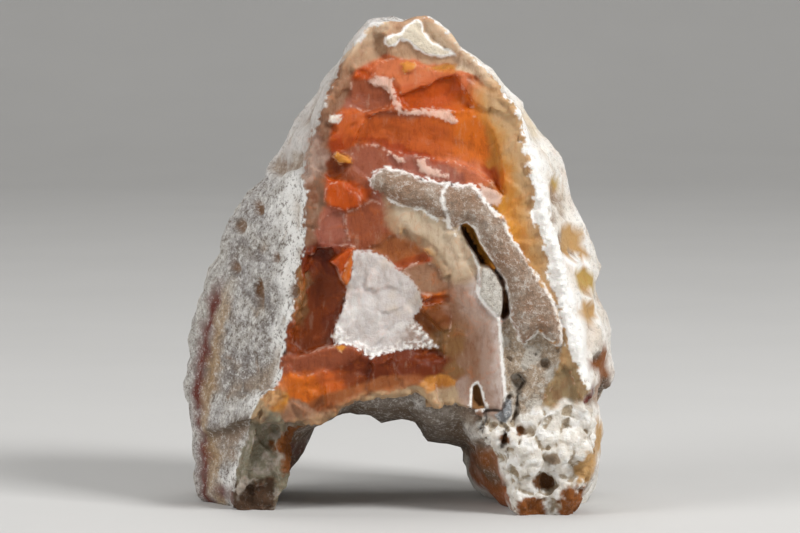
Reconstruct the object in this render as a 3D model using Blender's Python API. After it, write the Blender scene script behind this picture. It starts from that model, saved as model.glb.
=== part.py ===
"""Fortification agate: one stone, broken open, standing on the ends of its two legs.

Metres, +Z up. The broken face looks along -Y. The origin is on the resting plane, under the
middle of the stone. Outlines are (x, z) in units of a millimetre, seen from the broken face.
"""

import math

import bmesh
import bpy
import numpy as np
from mathutils import Matrix, Vector, noise

# The height in metres, which is 63.3 units of the outlines below
STONE_HEIGHT = 0.0633
UNIT = STONE_HEIGHT / 63.3

# The depth, and the places of the four outlines along Y at mid height
STONE_DEPTH = 30.0
FACE_DEPTH = -0.48 * STONE_DEPTH
WAIST_DEPTH = 0.0
WALL_DEPTH = 0.2 * STONE_DEPTH
BACK_DEPTH = 0.37 * STONE_DEPTH
BACK_DOME = 0.12 * STONE_DEPTH
MID_HEIGHT = 25.0
HALF_HEIGHT = 38.0
TAPER_AT_TOP = 0.3
BACKWARD_DROP = 0.08

# The sides lie behind the face, so they are a little wider apart than they look beside it
SIDE_SPREAD = 1.025

# Mesh: face sizes before and after the surface is shaped, and how many triangles are kept
ROUGH_FACE = 0.5
FINE_FACE = 0.42
MOST_TRIANGLES = 9500
SNAP = 0.02

# How many corners each stretch of an outline is given
CORNERS = {"top": 6, "right": 46, "right_sole": 12, "arch": 40, "left_sole": 10, "left": 48}

# The rim of the broken face
RIM = {
    "top": [(-3.6, 61.6), (-1.0, 62.4), (3.2, 62.8)],
    "right": [
        (4.6, 61.6), (9.2, 57.3), (12.5, 54.3), (14.3, 51.2), (15.9, 46.8), (17.1, 43.1),
        (18.1, 39.4), (19.4, 33.5), (21.0, 27.8), (21.9, 24.1), (22.4, 20.4), (23.6, 14.8),
        (24.2, 11.9), (24.2, 8.0), (23.2, 3.8), (21.8, 1.2),
    ],
    "right_sole": [(21.0, -0.6), (18.6, -0.9), (15.4, -0.6)],
    "arch": [
        (14.3, 2.5), (13.7, 5.6), (12.7, 8.1), (10.8, 10.0), (10.2, 12.5), (9.6, 13.8),
        (6.8, 13.9), (4.1, 13.1), (3.4, 15.0), (2.6, 16.0), (0.5, 16.0), (-0.3, 15.1),
        (-4.0, 14.8), (-6.6, 13.9), (-8.5, 12.5), (-11.2, 11.6), (-13.6, 11.0),
        (-14.6, 8.6), (-14.2, 6.0), (-14.9, 2.8), (-15.6, 1.2),
    ],
    "left_sole": [(-15.9, -0.4), (-18.6, -0.8), (-20.6, -0.4)],
    "left": [
        (-20.2, 5.0), (-18.8, 9.4), (-18.1, 12.4), (-17.0, 14.6), (-15.1, 16.3), (-14.5, 18.8),
        (-14.2, 21.3), (-13.5, 24.4), (-12.5, 27.8), (-12.6, 30.6), (-11.8, 33.0),
        (-11.6, 36.3), (-11.4, 40.0), (-11.9, 43.1), (-11.4, 46.9), (-9.8, 49.4),
        (-8.2, 54.0), (-6.9, 57.1), (-5.2, 59.8),
    ],
}

# The widest outline, which is the silhouette from the front
WAIST = {
    "top": [(-3.3, 62.9), (0.0, 63.3), (3.4, 63.3)],
    "right": [
        (5.6, 61.0), (7.5, 59.5), (11.0, 56.5), (12.8, 55.0), (13.9, 53.5), (16.4, 50.5),
        (18.1, 47.6), (19.9, 46.4), (21.0, 43.0), (21.5, 40.0), (23.5, 35.5), (25.1, 32.5),
        (25.4, 30.0), (25.1, 28.0), (25.8, 25.0), (26.8, 22.0), (26.8, 18.5), (26.3, 16.2),
        (24.6, 14.0), (25.4, 11.0), (25.6, 8.8), (25.1, 6.1), (23.8, 2.0),
    ],
    "right_sole": [(22.6, 0.0), (17.5, -0.1), (14.6, 0.2)],
    "arch": [
        (11.8, 1.7), (10.1, 3.0), (8.6, 5.4), (8.4, 7.8), (5.5, 9.1), (3.6, 9.1), (2.5, 10.1),
        (2.1, 11.4), (-0.6, 11.9), (-2.4, 11.6), (-3.4, 12.5), (-6.6, 13.3), (-7.4, 13.0),
        (-9.8, 11.8), (-11.6, 10.0), (-12.9, 7.0), (-13.8, 5.5), (-15.6, 2.5),
    ],
    "left_sole": [(-16.6, 0.6), (-18.6, 0.0), (-23.4, 0.0)],
    "left": [
        (-25.2, 1.4), (-25.7, 4.0), (-25.3, 5.4), (-26.1, 7.3), (-26.4, 11.5), (-26.9, 16.0),
        (-26.4, 19.3), (-25.9, 23.5), (-24.9, 28.0), (-23.8, 31.0), (-22.1, 34.0),
        (-21.2, 37.0), (-20.5, 38.8), (-18.4, 41.5), (-17.0, 42.7), (-16.7, 44.7),
        (-14.6, 47.5), (-12.8, 50.5), (-10.5, 53.5), (-9.7, 55.3), (-7.3, 58.0), (-5.6, 60.8),
    ],
}

# The outline where the back starts to round off
BACK = {
    "top": [(-2.0, 58.4), (0.0, 59.0), (2.4, 58.6)],
    "right": [
        (8.0, 54.6), (14.0, 47.0), (18.0, 39.4), (21.4, 31.0), (22.8, 22.0), (22.6, 12.0),
        (22.0, 4.0),
    ],
    "right_sole": [(20.8, 0.0), (16.6, -0.1), (13.6, 0.2)],
    "arch": [
        (11.0, 4.4), (9.8, 8.0), (5.4, 11.6), (0.0, 13.8), (-6.2, 15.4), (-10.8, 12.6),
        (-13.8, 7.4), (-15.8, 3.0),
    ],
    "left_sole": [(-17.0, 0.4), (-18.6, 0.0), (-22.2, 0.0)],
    "left": [
        (-23.6, 3.4), (-24.2, 12.0), (-23.4, 21.0), (-20.6, 31.0), (-15.4, 41.4),
        (-9.6, 50.6), (-5.0, 56.4),
    ],
}

# Shapes on the broken face
SEPTUM = [
    (-3.9, 42.5), (-2.9, 43.6), (-1.9, 44.1), (-1.0, 43.8), (0.2, 43.5), (1.6, 43.2), (2.6, 42.6),
    (4.1, 42.4), (5.4, 42.0), (7.1, 41.8), (9.0, 41.9), (9.8, 41.2), (10.2, 40.4), (11.1, 39.4),
    (12.1, 38.2), (12.9, 37.9), (13.6, 36.0), (14.8, 34.2), (16.0, 32.5), (17.2, 30.5),
    (18.8, 28.2), (19.6, 26.5), (20.2, 24.6), (20.4, 22.1), (19.8, 21.4), (18.5, 22.5),
    (17.5, 23.4), (16.8, 22.9), (15.6, 21.8), (14.9, 22.6), (14.5, 23.9), (13.8, 25.2),
    (13.8, 25.8), (13.6, 27.8), (12.9, 30.2), (11.6, 32.2), (10.1, 34.5), (9.4, 36.2), (8.4, 37.0),
    (7.5, 36.6), (7.1, 35.8), (6.4, 36.4), (5.9, 37.4), (4.4, 37.6), (2.6, 38.8), (1.1, 38.9),
    (-0.1, 39.2), (-1.6, 40.1), (-3.4, 41.0),
]
CREVICE = [
    (7.5, 36.8), (8.4, 37.1), (9.4, 36.2), (10.1, 34.5), (11.6, 32.2), (12.9, 30.2), (13.6, 27.8),
    (13.8, 25.6), (13.0, 24.8), (12.6, 25.2), (13.0, 27.5), (12.9, 29.0), (12.2, 30.5),
    (11.2, 31.5), (10.1, 31.8), (9.6, 32.8), (8.6, 34.2), (7.9, 35.5),
]
PLATE = [
    (10.1, 31.5), (11.4, 31.5), (12.2, 30.5), (12.9, 29.0), (13.0, 27.5), (12.9, 25.2),
    (12.2, 25.5), (10.6, 27.0), (9.9, 27.9), (10.1, 29.6),
]
FLOOR = [
    (12.8, 24.4), (13.8, 25.2), (14.5, 23.9), (14.9, 22.6), (15.6, 21.8), (16.8, 22.9),
    (17.5, 23.4), (18.5, 22.5), (19.8, 21.4), (20.4, 22.1), (20.2, 20.1), (19.5, 18.4),
    (18.4, 16.2), (17.8, 14.0), (17.1, 12.5), (15.6, 12.0), (13.6, 12.0), (13.2, 14.4),
    (13.1, 17.9), (12.8, 21.6),
]
QUARTZ = [
    (-5.8, 33.6), (-3.8, 33.6), (-1.8, 32.8), (-0.5, 31.4), (1.4, 30.1), (2.5, 28.2), (2.8, 26.8),
    (2.4, 25.9), (1.5, 25.2), (2.8, 23.8), (4.4, 21.8), (4.8, 21.4), (3.2, 21.4), (2.0, 21.3),
    (-0.5, 21.0), (-2.4, 20.6), (-3.8, 20.2), (-4.6, 21.0), (-6.1, 21.8), (-8.2, 21.9),
    (-8.5, 22.8), (-7.8, 24.8), (-7.0, 26.5), (-6.8, 28.1), (-6.6, 29.1), (-6.0, 30.6),
]
TOP_CHALK = [
    (-1.9, 59.2), (-1.9, 60.1), (-1.0, 60.5), (0.1, 60.8), (0.6, 61.4), (2.0, 62.5), (2.8, 62.2),
    (3.0, 60.9), (4.2, 59.6), (6.2, 58.6), (7.0, 58.0), (5.1, 57.6), (3.6, 57.9), (2.2, 58.6),
    (1.0, 59.6), (0.1, 59.9), (-0.5, 59.1), (-1.4, 59.0),
]
NOTCH = [
    (9.1, 16.5), (9.8, 16.9), (10.2, 16.2), (10.6, 14.6), (11.0, 13.6), (8.9, 13.4), (9.0, 15.0),
]
LOWER_BAND = [
    (-14.6, 19.6), (-12.3, 20.6), (-9.8, 21.4), (-6.6, 21.6), (-5.2, 21.0), (-2.9, 19.9),
    (0.6, 20.6), (5.0, 20.2), (6.6, 18.6), (7.4, 16.0), (7.4, 10.0), (-14.0, 10.0),
    (-17.4, 13.6), (-15.4, 17.0),
]

# Flat flakes and chips of the fracture: depth, slope along x and along z, extra depth in the
# middle, and outline
FLAKES = [
    (0.3, 0.0, 0.04, 0.0, [
        (-4.0, 56.1), (-3.0, 57.1), (-1.0, 57.6), (0.6, 57.5), (3.5, 56.8), (4.6, 56.1),
        (6.6, 56.2), (7.4, 55.5), (5.9, 55.2), (4.6, 54.8), (4.0, 54.2), (2.5, 53.9), (0.9, 53.2),
        (0.0, 52.9), (0.0, 53.9), (-0.9, 55.1), (-2.2, 55.4), (-3.6, 54.8),
    ]),
    (0.7, 0.0, 0.0, 0.0, [
        (-5.5, 56.1), (-4.0, 56.1), (-3.5, 55.4), (-4.0, 54.8), (-4.9, 55.2),
    ]),
    (1.2, 0.0, 0.05, 0.5, [
        (0.0, 52.9), (0.9, 53.2), (2.5, 53.9), (4.0, 54.2), (4.6, 54.8), (5.9, 55.2), (7.4, 55.5),
        (7.9, 53.8), (9.0, 52.4), (9.4, 51.5), (7.1, 50.9), (5.1, 51.1), (3.2, 51.2), (0.9, 51.1),
        (0.2, 51.9),
    ]),
    (0.1, 0.05, 0.05, 0.1, [
        (7.1, 56.1), (8.2, 55.4), (9.1, 54.6), (10.6, 53.6), (12.0, 52.8), (11.6, 51.8),
        (11.0, 51.0), (9.4, 51.9), (8.4, 53.4), (7.5, 54.6),
    ]),
    (0.9, 0.06, -0.05, 0.2, [
        (-6.1, 55.0), (-4.9, 55.1), (-3.9, 54.8), (-2.4, 54.0), (-1.6, 53.8), (-1.0, 52.4),
        (-1.2, 51.6), (-2.4, 51.1), (-4.6, 50.9), (-6.2, 51.6),
    ]),
    (1.1, -0.02, -0.13, 0.4, [
        (-5.9, 46.5), (-5.2, 48.2), (-4.1, 50.1), (-2.4, 51.0), (-0.1, 50.8), (3.2, 50.4),
        (5.1, 50.0), (6.6, 49.2), (8.4, 50.2), (10.1, 50.5), (11.6, 48.5), (12.6, 45.0),
        (13.1, 40.5), (11.4, 42.2), (9.5, 43.5), (7.1, 44.6), (3.9, 45.0), (1.6, 45.5),
        (-1.1, 45.9), (-3.4, 46.8),
    ]),
    (0.8, 0.0, 0.08, 0.0, [
        (-5.9, 46.5), (-3.4, 46.8), (-1.1, 45.9), (1.6, 45.5), (3.9, 45.0), (7.1, 44.6),
        (9.5, 43.5), (11.4, 42.2), (13.1, 40.5), (12.2, 39.0), (11.0, 39.6), (9.4, 41.2),
        (7.5, 41.9), (3.6, 42.5), (1.1, 43.5), (-1.4, 44.0), (-2.9, 43.5), (-3.9, 42.5),
        (-4.6, 43.0), (-5.9, 44.2),
    ]),
    (0.9, 0.1, 0.0, 0.0, [
        (-9.8, 37.2), (-8.5, 38.5), (-7.0, 38.4), (-6.8, 36.5), (-6.1, 34.2), (-8.0, 34.0),
        (-10.1, 34.4), (-10.2, 35.9),
    ]),
    (0.6, -0.04, -0.05, 0.1, [
        (-6.8, 38.4), (-5.1, 39.0), (-3.4, 40.0), (-1.6, 39.1), (-0.1, 38.5), (0.6, 37.2),
        (-0.1, 35.5), (-1.4, 35.2), (-2.6, 34.2), (-4.9, 33.8), (-6.1, 34.2), (-6.8, 36.5),
    ]),
    (0.3, 0.05, 0.05, 0.0, [
        (0.6, 38.6), (2.4, 38.2), (4.6, 36.9), (6.0, 35.2), (6.6, 33.0), (6.2, 31.5), (5.1, 33.0),
        (3.2, 35.0), (1.4, 35.8), (0.1, 37.0),
    ]),
    (1.2, 0.0, -0.1, 0.3, [
        (-2.6, 34.2), (-1.4, 35.2), (1.4, 35.5), (3.2, 34.6), (3.9, 33.1), (3.4, 32.2),
        (2.2, 32.1), (0.2, 31.2), (-1.1, 31.8), (-1.8, 32.8),
    ]),
    (0.7, 0.05, 0.08, 0.0, [
        (0.2, 31.2), (2.2, 32.1), (3.4, 32.2), (4.6, 31.5), (5.6, 30.0), (5.4, 28.5), (4.1, 27.9),
        (2.6, 28.2), (1.6, 30.0),
    ]),
    (1.2, 0.0, 0.15, 0.0, [
        (2.9, 27.1), (4.1, 27.9), (6.6, 28.0), (6.9, 27.1), (4.9, 27.0), (3.1, 26.6),
    ]),
    (1.7, -0.05, 0.0, 0.4, [
        (-10.4, 34.0), (-8.6, 33.9), (-7.6, 32.2), (-7.9, 31.5), (-7.2, 29.9), (-6.6, 29.0),
        (-6.9, 27.5), (-7.2, 26.0), (-8.1, 24.0), (-8.5, 22.8), (-8.2, 21.9), (-9.9, 21.2),
        (-12.4, 20.5), (-13.6, 21.8), (-13.4, 24.8), (-12.6, 27.5), (-12.0, 30.5), (-11.4, 32.8),
    ]),
    (-0.2, -0.03, -0.12, 0.0, [
        (-14.1, 19.8), (-12.4, 20.5), (-9.9, 21.4), (-7.4, 21.8), (-5.9, 21.6), (-4.6, 21.0),
        (-5.4, 19.9), (-7.4, 19.0), (-9.6, 18.5), (-11.9, 17.8), (-13.5, 18.2),
    ]),
    (0.4, 0.0, 0.0, 0.0, [
        (6.6, 32.2), (8.2, 32.2), (9.9, 29.8), (10.6, 27.5), (12.4, 25.2), (12.8, 23.8),
        (13.1, 20.0), (13.2, 14.4), (12.2, 13.6), (10.5, 14.0), (10.4, 16.5), (9.2, 16.8),
        (8.9, 15.0), (6.6, 13.5), (5.4, 13.5), (4.8, 15.0), (4.4, 17.5), (5.9, 21.2), (6.4, 25.0),
        (6.2, 28.8),
    ]),
    (0.9, 0.0, 0.0, 0.2, [
        (17.2, 12.8), (18.2, 15.0), (19.2, 16.9), (20.5, 19.0), (21.5, 18.5), (22.2, 16.2),
        (22.4, 14.4), (20.8, 14.6), (19.2, 13.8), (18.2, 13.2),
    ]),
    (-0.2, 0.0, 0.0, 0.0, [
        (-8.4, 45.4), (-7.8, 46.0), (-6.9, 45.6), (-6.0, 44.9), (-5.9, 44.4), (-6.8, 44.5),
        (-7.6, 44.5),
    ]),
    (-0.2, 0.0, 0.0, 0.0, [
        (0.1, 56.8), (0.8, 57.2), (1.9, 57.0), (2.1, 56.4), (1.5, 55.8), (0.6, 55.8),
    ]),
    (-0.7, 0.0, 0.0, 0.0, [
        (-8.8, 32.2), (-6.5, 33.9), (-5.8, 33.9), (-6.9, 31.5), (-7.4, 29.9), (-7.8, 31.5),
    ]),
    (-0.2, 0.0, 0.0, 0.0, [
        (-5.8, 33.9), (-5.8, 32.0), (-6.1, 30.1), (-6.6, 29.1), (-7.4, 29.9), (-6.9, 31.5),
    ]),
    (-0.1, 0.0, 0.0, 0.0, [
        (19.8, 27.2), (20.6, 27.8), (21.2, 26.2), (21.5, 24.4), (20.9, 24.2), (20.1, 25.6),
    ]),
    (0.0, 0.0, 0.0, 0.0, [
        (-9.4, 41.2), (-8.5, 42.0), (-7.6, 42.5), (-6.8, 42.2), (-6.1, 41.1), (-5.1, 40.9),
        (-4.8, 39.9), (-5.1, 38.9), (-6.1, 38.9), (-6.8, 38.5), (-7.8, 38.9), (-8.6, 39.1),
        (-9.5, 39.8),
    ]),
]

# Rounded lumps of the right foot, and its pits: x, z, radius, height (negative is a pit)
FOOT_LUMPS = [
    (16.4, 8.4, 3.4, 2.2), (21.6, 8.2, 3.2, 2.0), (18.8, 11.8, 2.8, 1.4), (22.6, 12.8, 2.0, 1.0),
    (16.0, 3.8, 2.8, 1.4), (21.6, 3.2, 2.6, 1.3), (13.2, 10.2, 1.9, 1.3), (12.2, 7.4, 1.8, 0.8),
    (18.3, 4.2, 1.6, -1.9), (13.3, 9.9, 0.8, -1.2), (19.2, 7.2, 1.0, -0.9), (15.6, 10.9, 0.8, -1.0),
    (18.3, 19.2, 0.9, -1.6), (14.8, 17.0, 1.2, -1.8), (20.6, 11.4, 1.2, -0.8), (13.4, 13.4, 1.0, 1.0),
]

# Pits in the crust of the left flank: x, z, half width, half height, depth
CRUST_PITS = [
    (-17.8, 27.8, 0.7, 2.0, 1.4), (-18.0, 38.3, 0.8, 1.0, 0.8), (-20.4, 35.8, 0.9, 1.0, 0.8),
    (-13.3, 28.4, 0.7, 1.0, 0.7), (-15.6, 32.4, 0.5, 0.8, 0.5), (-21.0, 30.6, 0.7, 0.9, 0.5),
]

# Hollows in the right flank and the back: x, y, z, radius, depth
FLANK_HOLLOWS = [
    (20.6, -7.0, 41.0, 2.2, 1.1), (22.4, -7.6, 34.2, 3.0, 1.7), (23.8, -6.0, 29.2, 2.4, 1.5),
    (24.6, -7.0, 24.6, 2.1, 1.1), (25.0, -7.6, 18.4, 1.8, 1.6), (25.2, -2.0, 14.8, 1.6, 1.5),
    (20.0, 1.0, 46.0, 2.0, 0.9), (24.8, 1.4, 12.4, 3.0, 1.4), (25.2, 3.0, 27.0, 3.2, 1.3),
    (18.0, 7.0, 38.0, 3.6, 1.2), (6.0, 14.0, 24.0, 4.2, 1.6), (-9.0, 14.0, 36.0, 3.4, 1.1),
]

CRUST_TOP = 42.6
CRUST_THICKNESS = 1.1
SEPTUM_HEIGHT = 1.2
CREVICE_DEPTH = 3.2
QUARTZ_DEPTH = 0.6
FLOOR_DEPTH = 1.3
NOTCH_DEPTH = 1.6

# The fracture between the named flakes: size, slope and number of two patterns of flat faces
BROAD_FLAKES = (5.0, 0.22, 3)
SMALL_FLAKES = (1.9, 0.16, 5)
CRYSTALS = (2.4, 0.2, 11)
FLAKE_DEPTH = 0.5

# The lip of the face overhangs the left leg and the arch
LIP_HEIGHT = 11.6
LIP_END = -12.0
LEG_SETBACK = 4.5
UNDERCUT_DEPTH = 1.6
UNDERCUT_WIDTH = 2.0

# Lumps of the skin, with coarse and fine roughness: size and height
LUMP_SIZE = 6.5
LUMP_HEIGHT = 0.9
ROUGH_SIZE = 5.0
ROUGH_HEIGHT = 0.5


def spaced(points, count):
    """The given number of points at even steps along a line of points, without its last one."""
    line = np.array(points, float)
    run = np.concatenate([[0], np.cumsum(np.linalg.norm(np.diff(line, axis=0), axis=1))])
    at = np.linspace(0, run[-1], count, endpoint=False)
    return np.column_stack([np.interp(at, run, line[:, 0]), np.interp(at, run, line[:, 1])])


def outline_points(outline):
    """One closed outline, with the same number of corners on each stretch of every outline."""
    names = list(CORNERS)
    stretches = []
    for name, following in zip(names, names[1:] + names[:1]):
        stretches.append(spaced(outline[name] + outline[following][:1], CORNERS[name]))
    return np.vstack(stretches)


def step(low, high, value):
    """Smooth rise from 0 at low to 1 at high."""
    t = np.clip((value - low) / (high - low), 0, 1)
    return t * t * (3 - 2 * t)


def depth_at(depth, z):
    """The stone gets thinner towards its top and its feet."""
    return depth * (1 - TAPER_AT_TOP * ((z - MID_HEIGHT) / HALF_HEIGHT) ** 2)


def front_depth(x, z):
    """The smooth broken face, which the left leg stands behind."""
    leg = step(LIP_HEIGHT + 0.5, LIP_HEIGHT - 0.7, z) * step(LIP_END + 0.5, LIP_END - 0.5, x)
    return depth_at(FACE_DEPTH, z) + LEG_SETBACK * leg


def ring_places():
    """The corners of the four outlines in space, from the face to the back."""
    rim = outline_points(RIM)
    rings = [np.column_stack([rim[:, 0], front_depth(rim[:, 0], rim[:, 1]), rim[:, 1]])]
    for outline, depth in ((WAIST, WAIST_DEPTH), (WAIST, WALL_DEPTH), (BACK, BACK_DEPTH)):
        points = outline_points(outline)
        y = depth_at(depth, points[:, 1])
        lower = BACKWARD_DROP * (depth - FACE_DEPTH)
        rings.append(np.column_stack([points[:, 0] * SIDE_SPREAD, y, points[:, 1] - lower]))
    return rings


def lofted_body():
    """The rough form: four outlines joined by walls, with a flat cap at each end."""
    shape = bmesh.new()
    rings = [[shape.verts.new(place * UNIT) for place in ring] for ring in ring_places()]
    for front, behind in zip(rings, rings[1:]):
        for i in range(len(front)):
            j = (i + 1) % len(front)
            shape.faces.new((front[i], front[j], behind[j], behind[i]))
    shape.faces.new(rings[0])
    shape.faces.new(rings[-1])
    bmesh.ops.recalc_face_normals(shape, faces=shape.faces)
    mesh = bpy.data.meshes.new("rough_form")
    shape.to_mesh(mesh)
    shape.free()
    return mesh


def modified(mesh, kind, **settings):
    """The mesh after one modifier."""
    helper = bpy.data.objects.new("helper", mesh)
    bpy.context.scene.collection.objects.link(helper)
    modifier = helper.modifiers.new(kind, kind)
    for name, value in settings.items():
        setattr(modifier, name, value)
    graph = bpy.context.evaluated_depsgraph_get()
    made = bpy.data.meshes.new_from_object(helper.evaluated_get(graph))
    bpy.data.objects.remove(helper)
    return made


def inside(x, z, outline):
    """Distance to a closed outline, positive inside it and negative outside."""
    nearest = np.full(x.shape, np.inf)
    within = np.zeros(x.shape, bool)
    for (ax, az), (bx, bz) in zip(outline, outline[1:] + outline[:1]):
        ex, ez = bx - ax, bz - az
        along = np.clip(((x - ax) * ex + (z - az) * ez) / (ex * ex + ez * ez), 0, 1)
        nearest = np.minimum(nearest, np.hypot(x - ax - along * ex, z - az - along * ez))
        if ez:
            within ^= ((az > z) != (bz > z)) & (x < ax + (z - az) / ez * ex)
    return np.where(within, nearest, -nearest)


def dome(x, z, cx, cz, half_width, half_height):
    """1 at the middle of an ellipse, 0 at its edge and below 0 outside it."""
    return 1 - ((x - cx) / half_width) ** 2 - ((z - cz) / half_height) ** 2


def rough(points, size, seed=0.0):
    """Fractal noise from about -1 to 1, with lumps of this size."""
    return np.array([
        noise.fractal(Vector((p[0] / size + seed, p[1] / size, p[2] / size - seed)), 0.9, 2.1, 3)
        for p in points
    ])


def lumps(points, size):
    """Rounded lumps of about this size, 1 at their tops and 0 in the grooves between them."""
    distance = np.array([noise.voronoi(Vector(p / size))[0][0] for p in points])
    return 1 - np.clip(distance / 0.75, 0, 1) ** 2


def rim_distance(x, z):
    return inside(x, z, [tuple(p) for p in outline_points(RIM)])


def flat_flakes(x, z, size, slope, number):
    """Flat tilted faces that meet at ridges, one for each cell of a jittered grid."""
    table = np.random.default_rng(number).uniform(-0.5, 0.5, (64, 64, 4))
    column, row = np.floor(x / size).astype(int), np.floor(z / size).astype(int)
    nearest = np.full(x.shape, np.inf)
    height = np.zeros(x.shape)
    for right in (-1, 0, 1):
        for up in (-1, 0, 1):
            jitter = table[(column + right) % 64, (row + up) % 64]
            away_x = x - (column + right + 0.5 + jitter[:, 0]) * size
            away_z = z - (row + up + 0.5 + jitter[:, 1]) * size
            gap = np.hypot(away_x, away_z)
            plane = slope * (2 * jitter[:, 2] * away_x + 2 * jitter[:, 3] * away_z)
            height = np.where(gap < nearest, plane, height)
            nearest = np.minimum(nearest, gap)
    return height


def face_relief(x, z):
    """How far each point of the broken face lies behind its smooth form."""
    small = flat_flakes(x, z, *SMALL_FLAKES)
    relief = FLAKE_DEPTH + flat_flakes(x, z, *BROAD_FLAKES) + small
    relief *= step(0.0, 1.5, rim_distance(x, z))
    relief -= 0.9 * step(-0.5, 0.6, inside(x, z, LOWER_BAND))
    for depth, slope_x, slope_z, hollow, outline in FLAKES:
        middle_x, middle_z = np.mean(outline, axis=0)
        within = inside(x, z, outline)
        plane = depth + slope_x * (x - middle_x) + slope_z * (z - middle_z) + hollow * step(0.0, 3.0, within)
        relief += (plane + 0.25 * small - relief) * step(-0.12, 0.12, within)
    relief += (QUARTZ_DEPTH + flat_flakes(x, z, *CRYSTALS) - relief) * step(-0.1, 0.2, inside(x, z, QUARTZ))
    relief -= 0.6 * step(-0.2, 0.3, inside(x, z, TOP_CHALK))
    relief += (FLOOR_DEPTH - relief) * step(-0.5, 0.6, inside(x, z, FLOOR))
    septum = inside(x, z, SEPTUM)
    relief += (0.2 - SEPTUM_HEIGHT * step(-0.2, 1.6, septum) - relief) * step(-0.15, 0.2, septum)
    relief += (-0.3 - relief) * step(-0.15, 0.25, inside(x, z, PLATE))
    relief += CREVICE_DEPTH * step(-0.1, 0.5, inside(x, z, CREVICE))
    relief += NOTCH_DEPTH * step(-0.1, 0.4, inside(x, z, NOTCH))
    for cx, cz, radius, height in FOOT_LUMPS:
        relief -= height * np.clip(dome(x, z, cx, cz, radius, radius), 0, 1)
    return relief


def shape_front(points, normals):
    """The broken face, with its flakes, septum, crevice and crystals; how much each point is of it."""
    x, y, z = points.T
    facing = step(0.2, 0.6, -normals[:, 1]) * step(0.0, 0.9, rim_distance(x, z))
    points[:, 1] += facing * (front_depth(x, z) + face_relief(x, z) - y)
    return facing


def shape_back(points, normals):
    """The rounded back."""
    x, y, z = points.T
    drop = BACKWARD_DROP * (BACK_DEPTH - FACE_DEPTH)
    edge = inside(x, z + drop, [tuple(p) for p in outline_points(BACK)])
    facing = step(0.2, 0.6, normals[:, 1]) * step(0.0, 1.5, edge)
    target = depth_at(BACK_DEPTH, z) + BACK_DOME * (1 - np.exp(-np.maximum(edge, 0) / 5.0))
    points[:, 1] += facing * (target - y)


def shape_skin(points, normals, facing):
    """The crust of the left flank, the hollows, the undercut of the lip, and the lumpy skin."""
    x, y, z = points.T
    skin = 1 - facing
    left_flank = step(10.0, 12.0, -x) * step(0.1, 0.4, -normals[:, 1]) * skin
    above_crust = step(0.0, 0.9, z - CRUST_TOP - 0.6 * np.sin(1.3 * x))
    grow = -CRUST_THICKNESS * left_flank * above_crust
    for cx, cz, half_width, half_height, depth in CRUST_PITS:
        grow -= depth * left_flank * np.sqrt(np.clip(dome(x, z, cx, cz, half_width, half_height), 0, 1))
    for *place, radius, depth in FLANK_HOLLOWS:
        distance = np.linalg.norm((points - place) * (1, 0.6, 1), axis=1)
        grow -= depth * skin * np.clip(1 - (distance / radius) ** 2, 0, 1)
    ceiling = step(0.2, 0.7, -normals[:, 2]) * step(1.5, 3.0, z)
    grow -= UNDERCUT_DEPTH * ceiling * np.exp(-((y - FACE_DEPTH - 3.5) / UNDERCUT_WIDTH) ** 2)
    smooth = 1 - 0.75 * left_flank
    grow += skin * smooth * LUMP_HEIGHT * (lumps(points, LUMP_SIZE) - 0.5)
    grow += skin * smooth * ROUGH_HEIGHT * rough(points, ROUGH_SIZE)
    points += normals * grow[:, None]


def coordinates(mesh, what):
    values = np.empty(len(mesh.vertices) * 3, np.float32)
    mesh.vertices.foreach_get(what, values)
    return values.reshape(-1, 3).astype(float)


def put_back(mesh, points):
    mesh.vertices.foreach_set("co", (points * UNIT).astype(np.float32).ravel())
    mesh.update()


def cut_soles(mesh):
    """The two small flat spots that the stone stands on, cut level at the resting plane."""
    shape = bmesh.new()
    shape.from_mesh(mesh)
    everything = shape.verts[:] + shape.edges[:] + shape.faces[:]
    cut = bmesh.ops.bisect_plane(
        shape, geom=everything, dist=SNAP * UNIT, plane_co=(0, 0, 0), plane_no=(0, 0, -1), clear_outer=True)
    edges = [part for part in cut["geom_cut"] if isinstance(part, bmesh.types.BMEdge)]
    for corner in {corner for edge in edges for corner in edge.verts}:
        corner.co.z = 0.0
    soles = bmesh.ops.holes_fill(shape, edges=edges)
    bmesh.ops.triangulate(shape, faces=soles["faces"])
    shape.to_mesh(mesh)
    shape.free()


def centre(mesh):
    """Puts the origin under the middle of the stone."""
    points = coordinates(mesh, "co")
    middle = (points.min(axis=0) + points.max(axis=0)) / 2
    mesh.transform(Matrix.Translation((-middle[0], -middle[1], 0)))


def stone_mesh():
    mesh = modified(lofted_body(), "REMESH", mode="VOXEL", voxel_size=ROUGH_FACE * UNIT)
    points, normals = coordinates(mesh, "co") / UNIT, coordinates(mesh, "normal")
    facing = shape_front(points, normals)
    shape_back(points, normals)
    shape_skin(points, normals, facing)
    put_back(mesh, points)
    mesh = modified(mesh, "REMESH", mode="VOXEL", voxel_size=FINE_FACE * UNIT)
    mesh = modified(mesh, "TRIANGULATE")
    mesh = modified(mesh, "DECIMATE", ratio=MOST_TRIANGLES / len(mesh.polygons))
    cut_soles(mesh)
    centre(mesh)
    return mesh


def agate_material():
    material = bpy.data.materials.new("agate")
    material.use_nodes = True
    shader = material.node_tree.nodes["Principled BSDF"]
    shader.inputs["Base Color"].default_value = (0.62, 0.36, 0.22, 1)
    shader.inputs["Roughness"].default_value = 0.5
    shader.inputs["Metallic"].default_value = 0.0
    return material


def main():
    for old in list(bpy.data.objects):
        bpy.data.objects.remove(old)
    mesh = stone_mesh()
    mesh.name = "agate"
    mesh.shade_smooth()
    mesh.set_sharp_from_angle(angle=math.radians(35))
    mesh.materials.clear()
    mesh.materials.append(agate_material())
    agate = bpy.data.objects.new("agate", mesh)
    bpy.context.scene.collection.objects.link(agate)


main()
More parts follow.
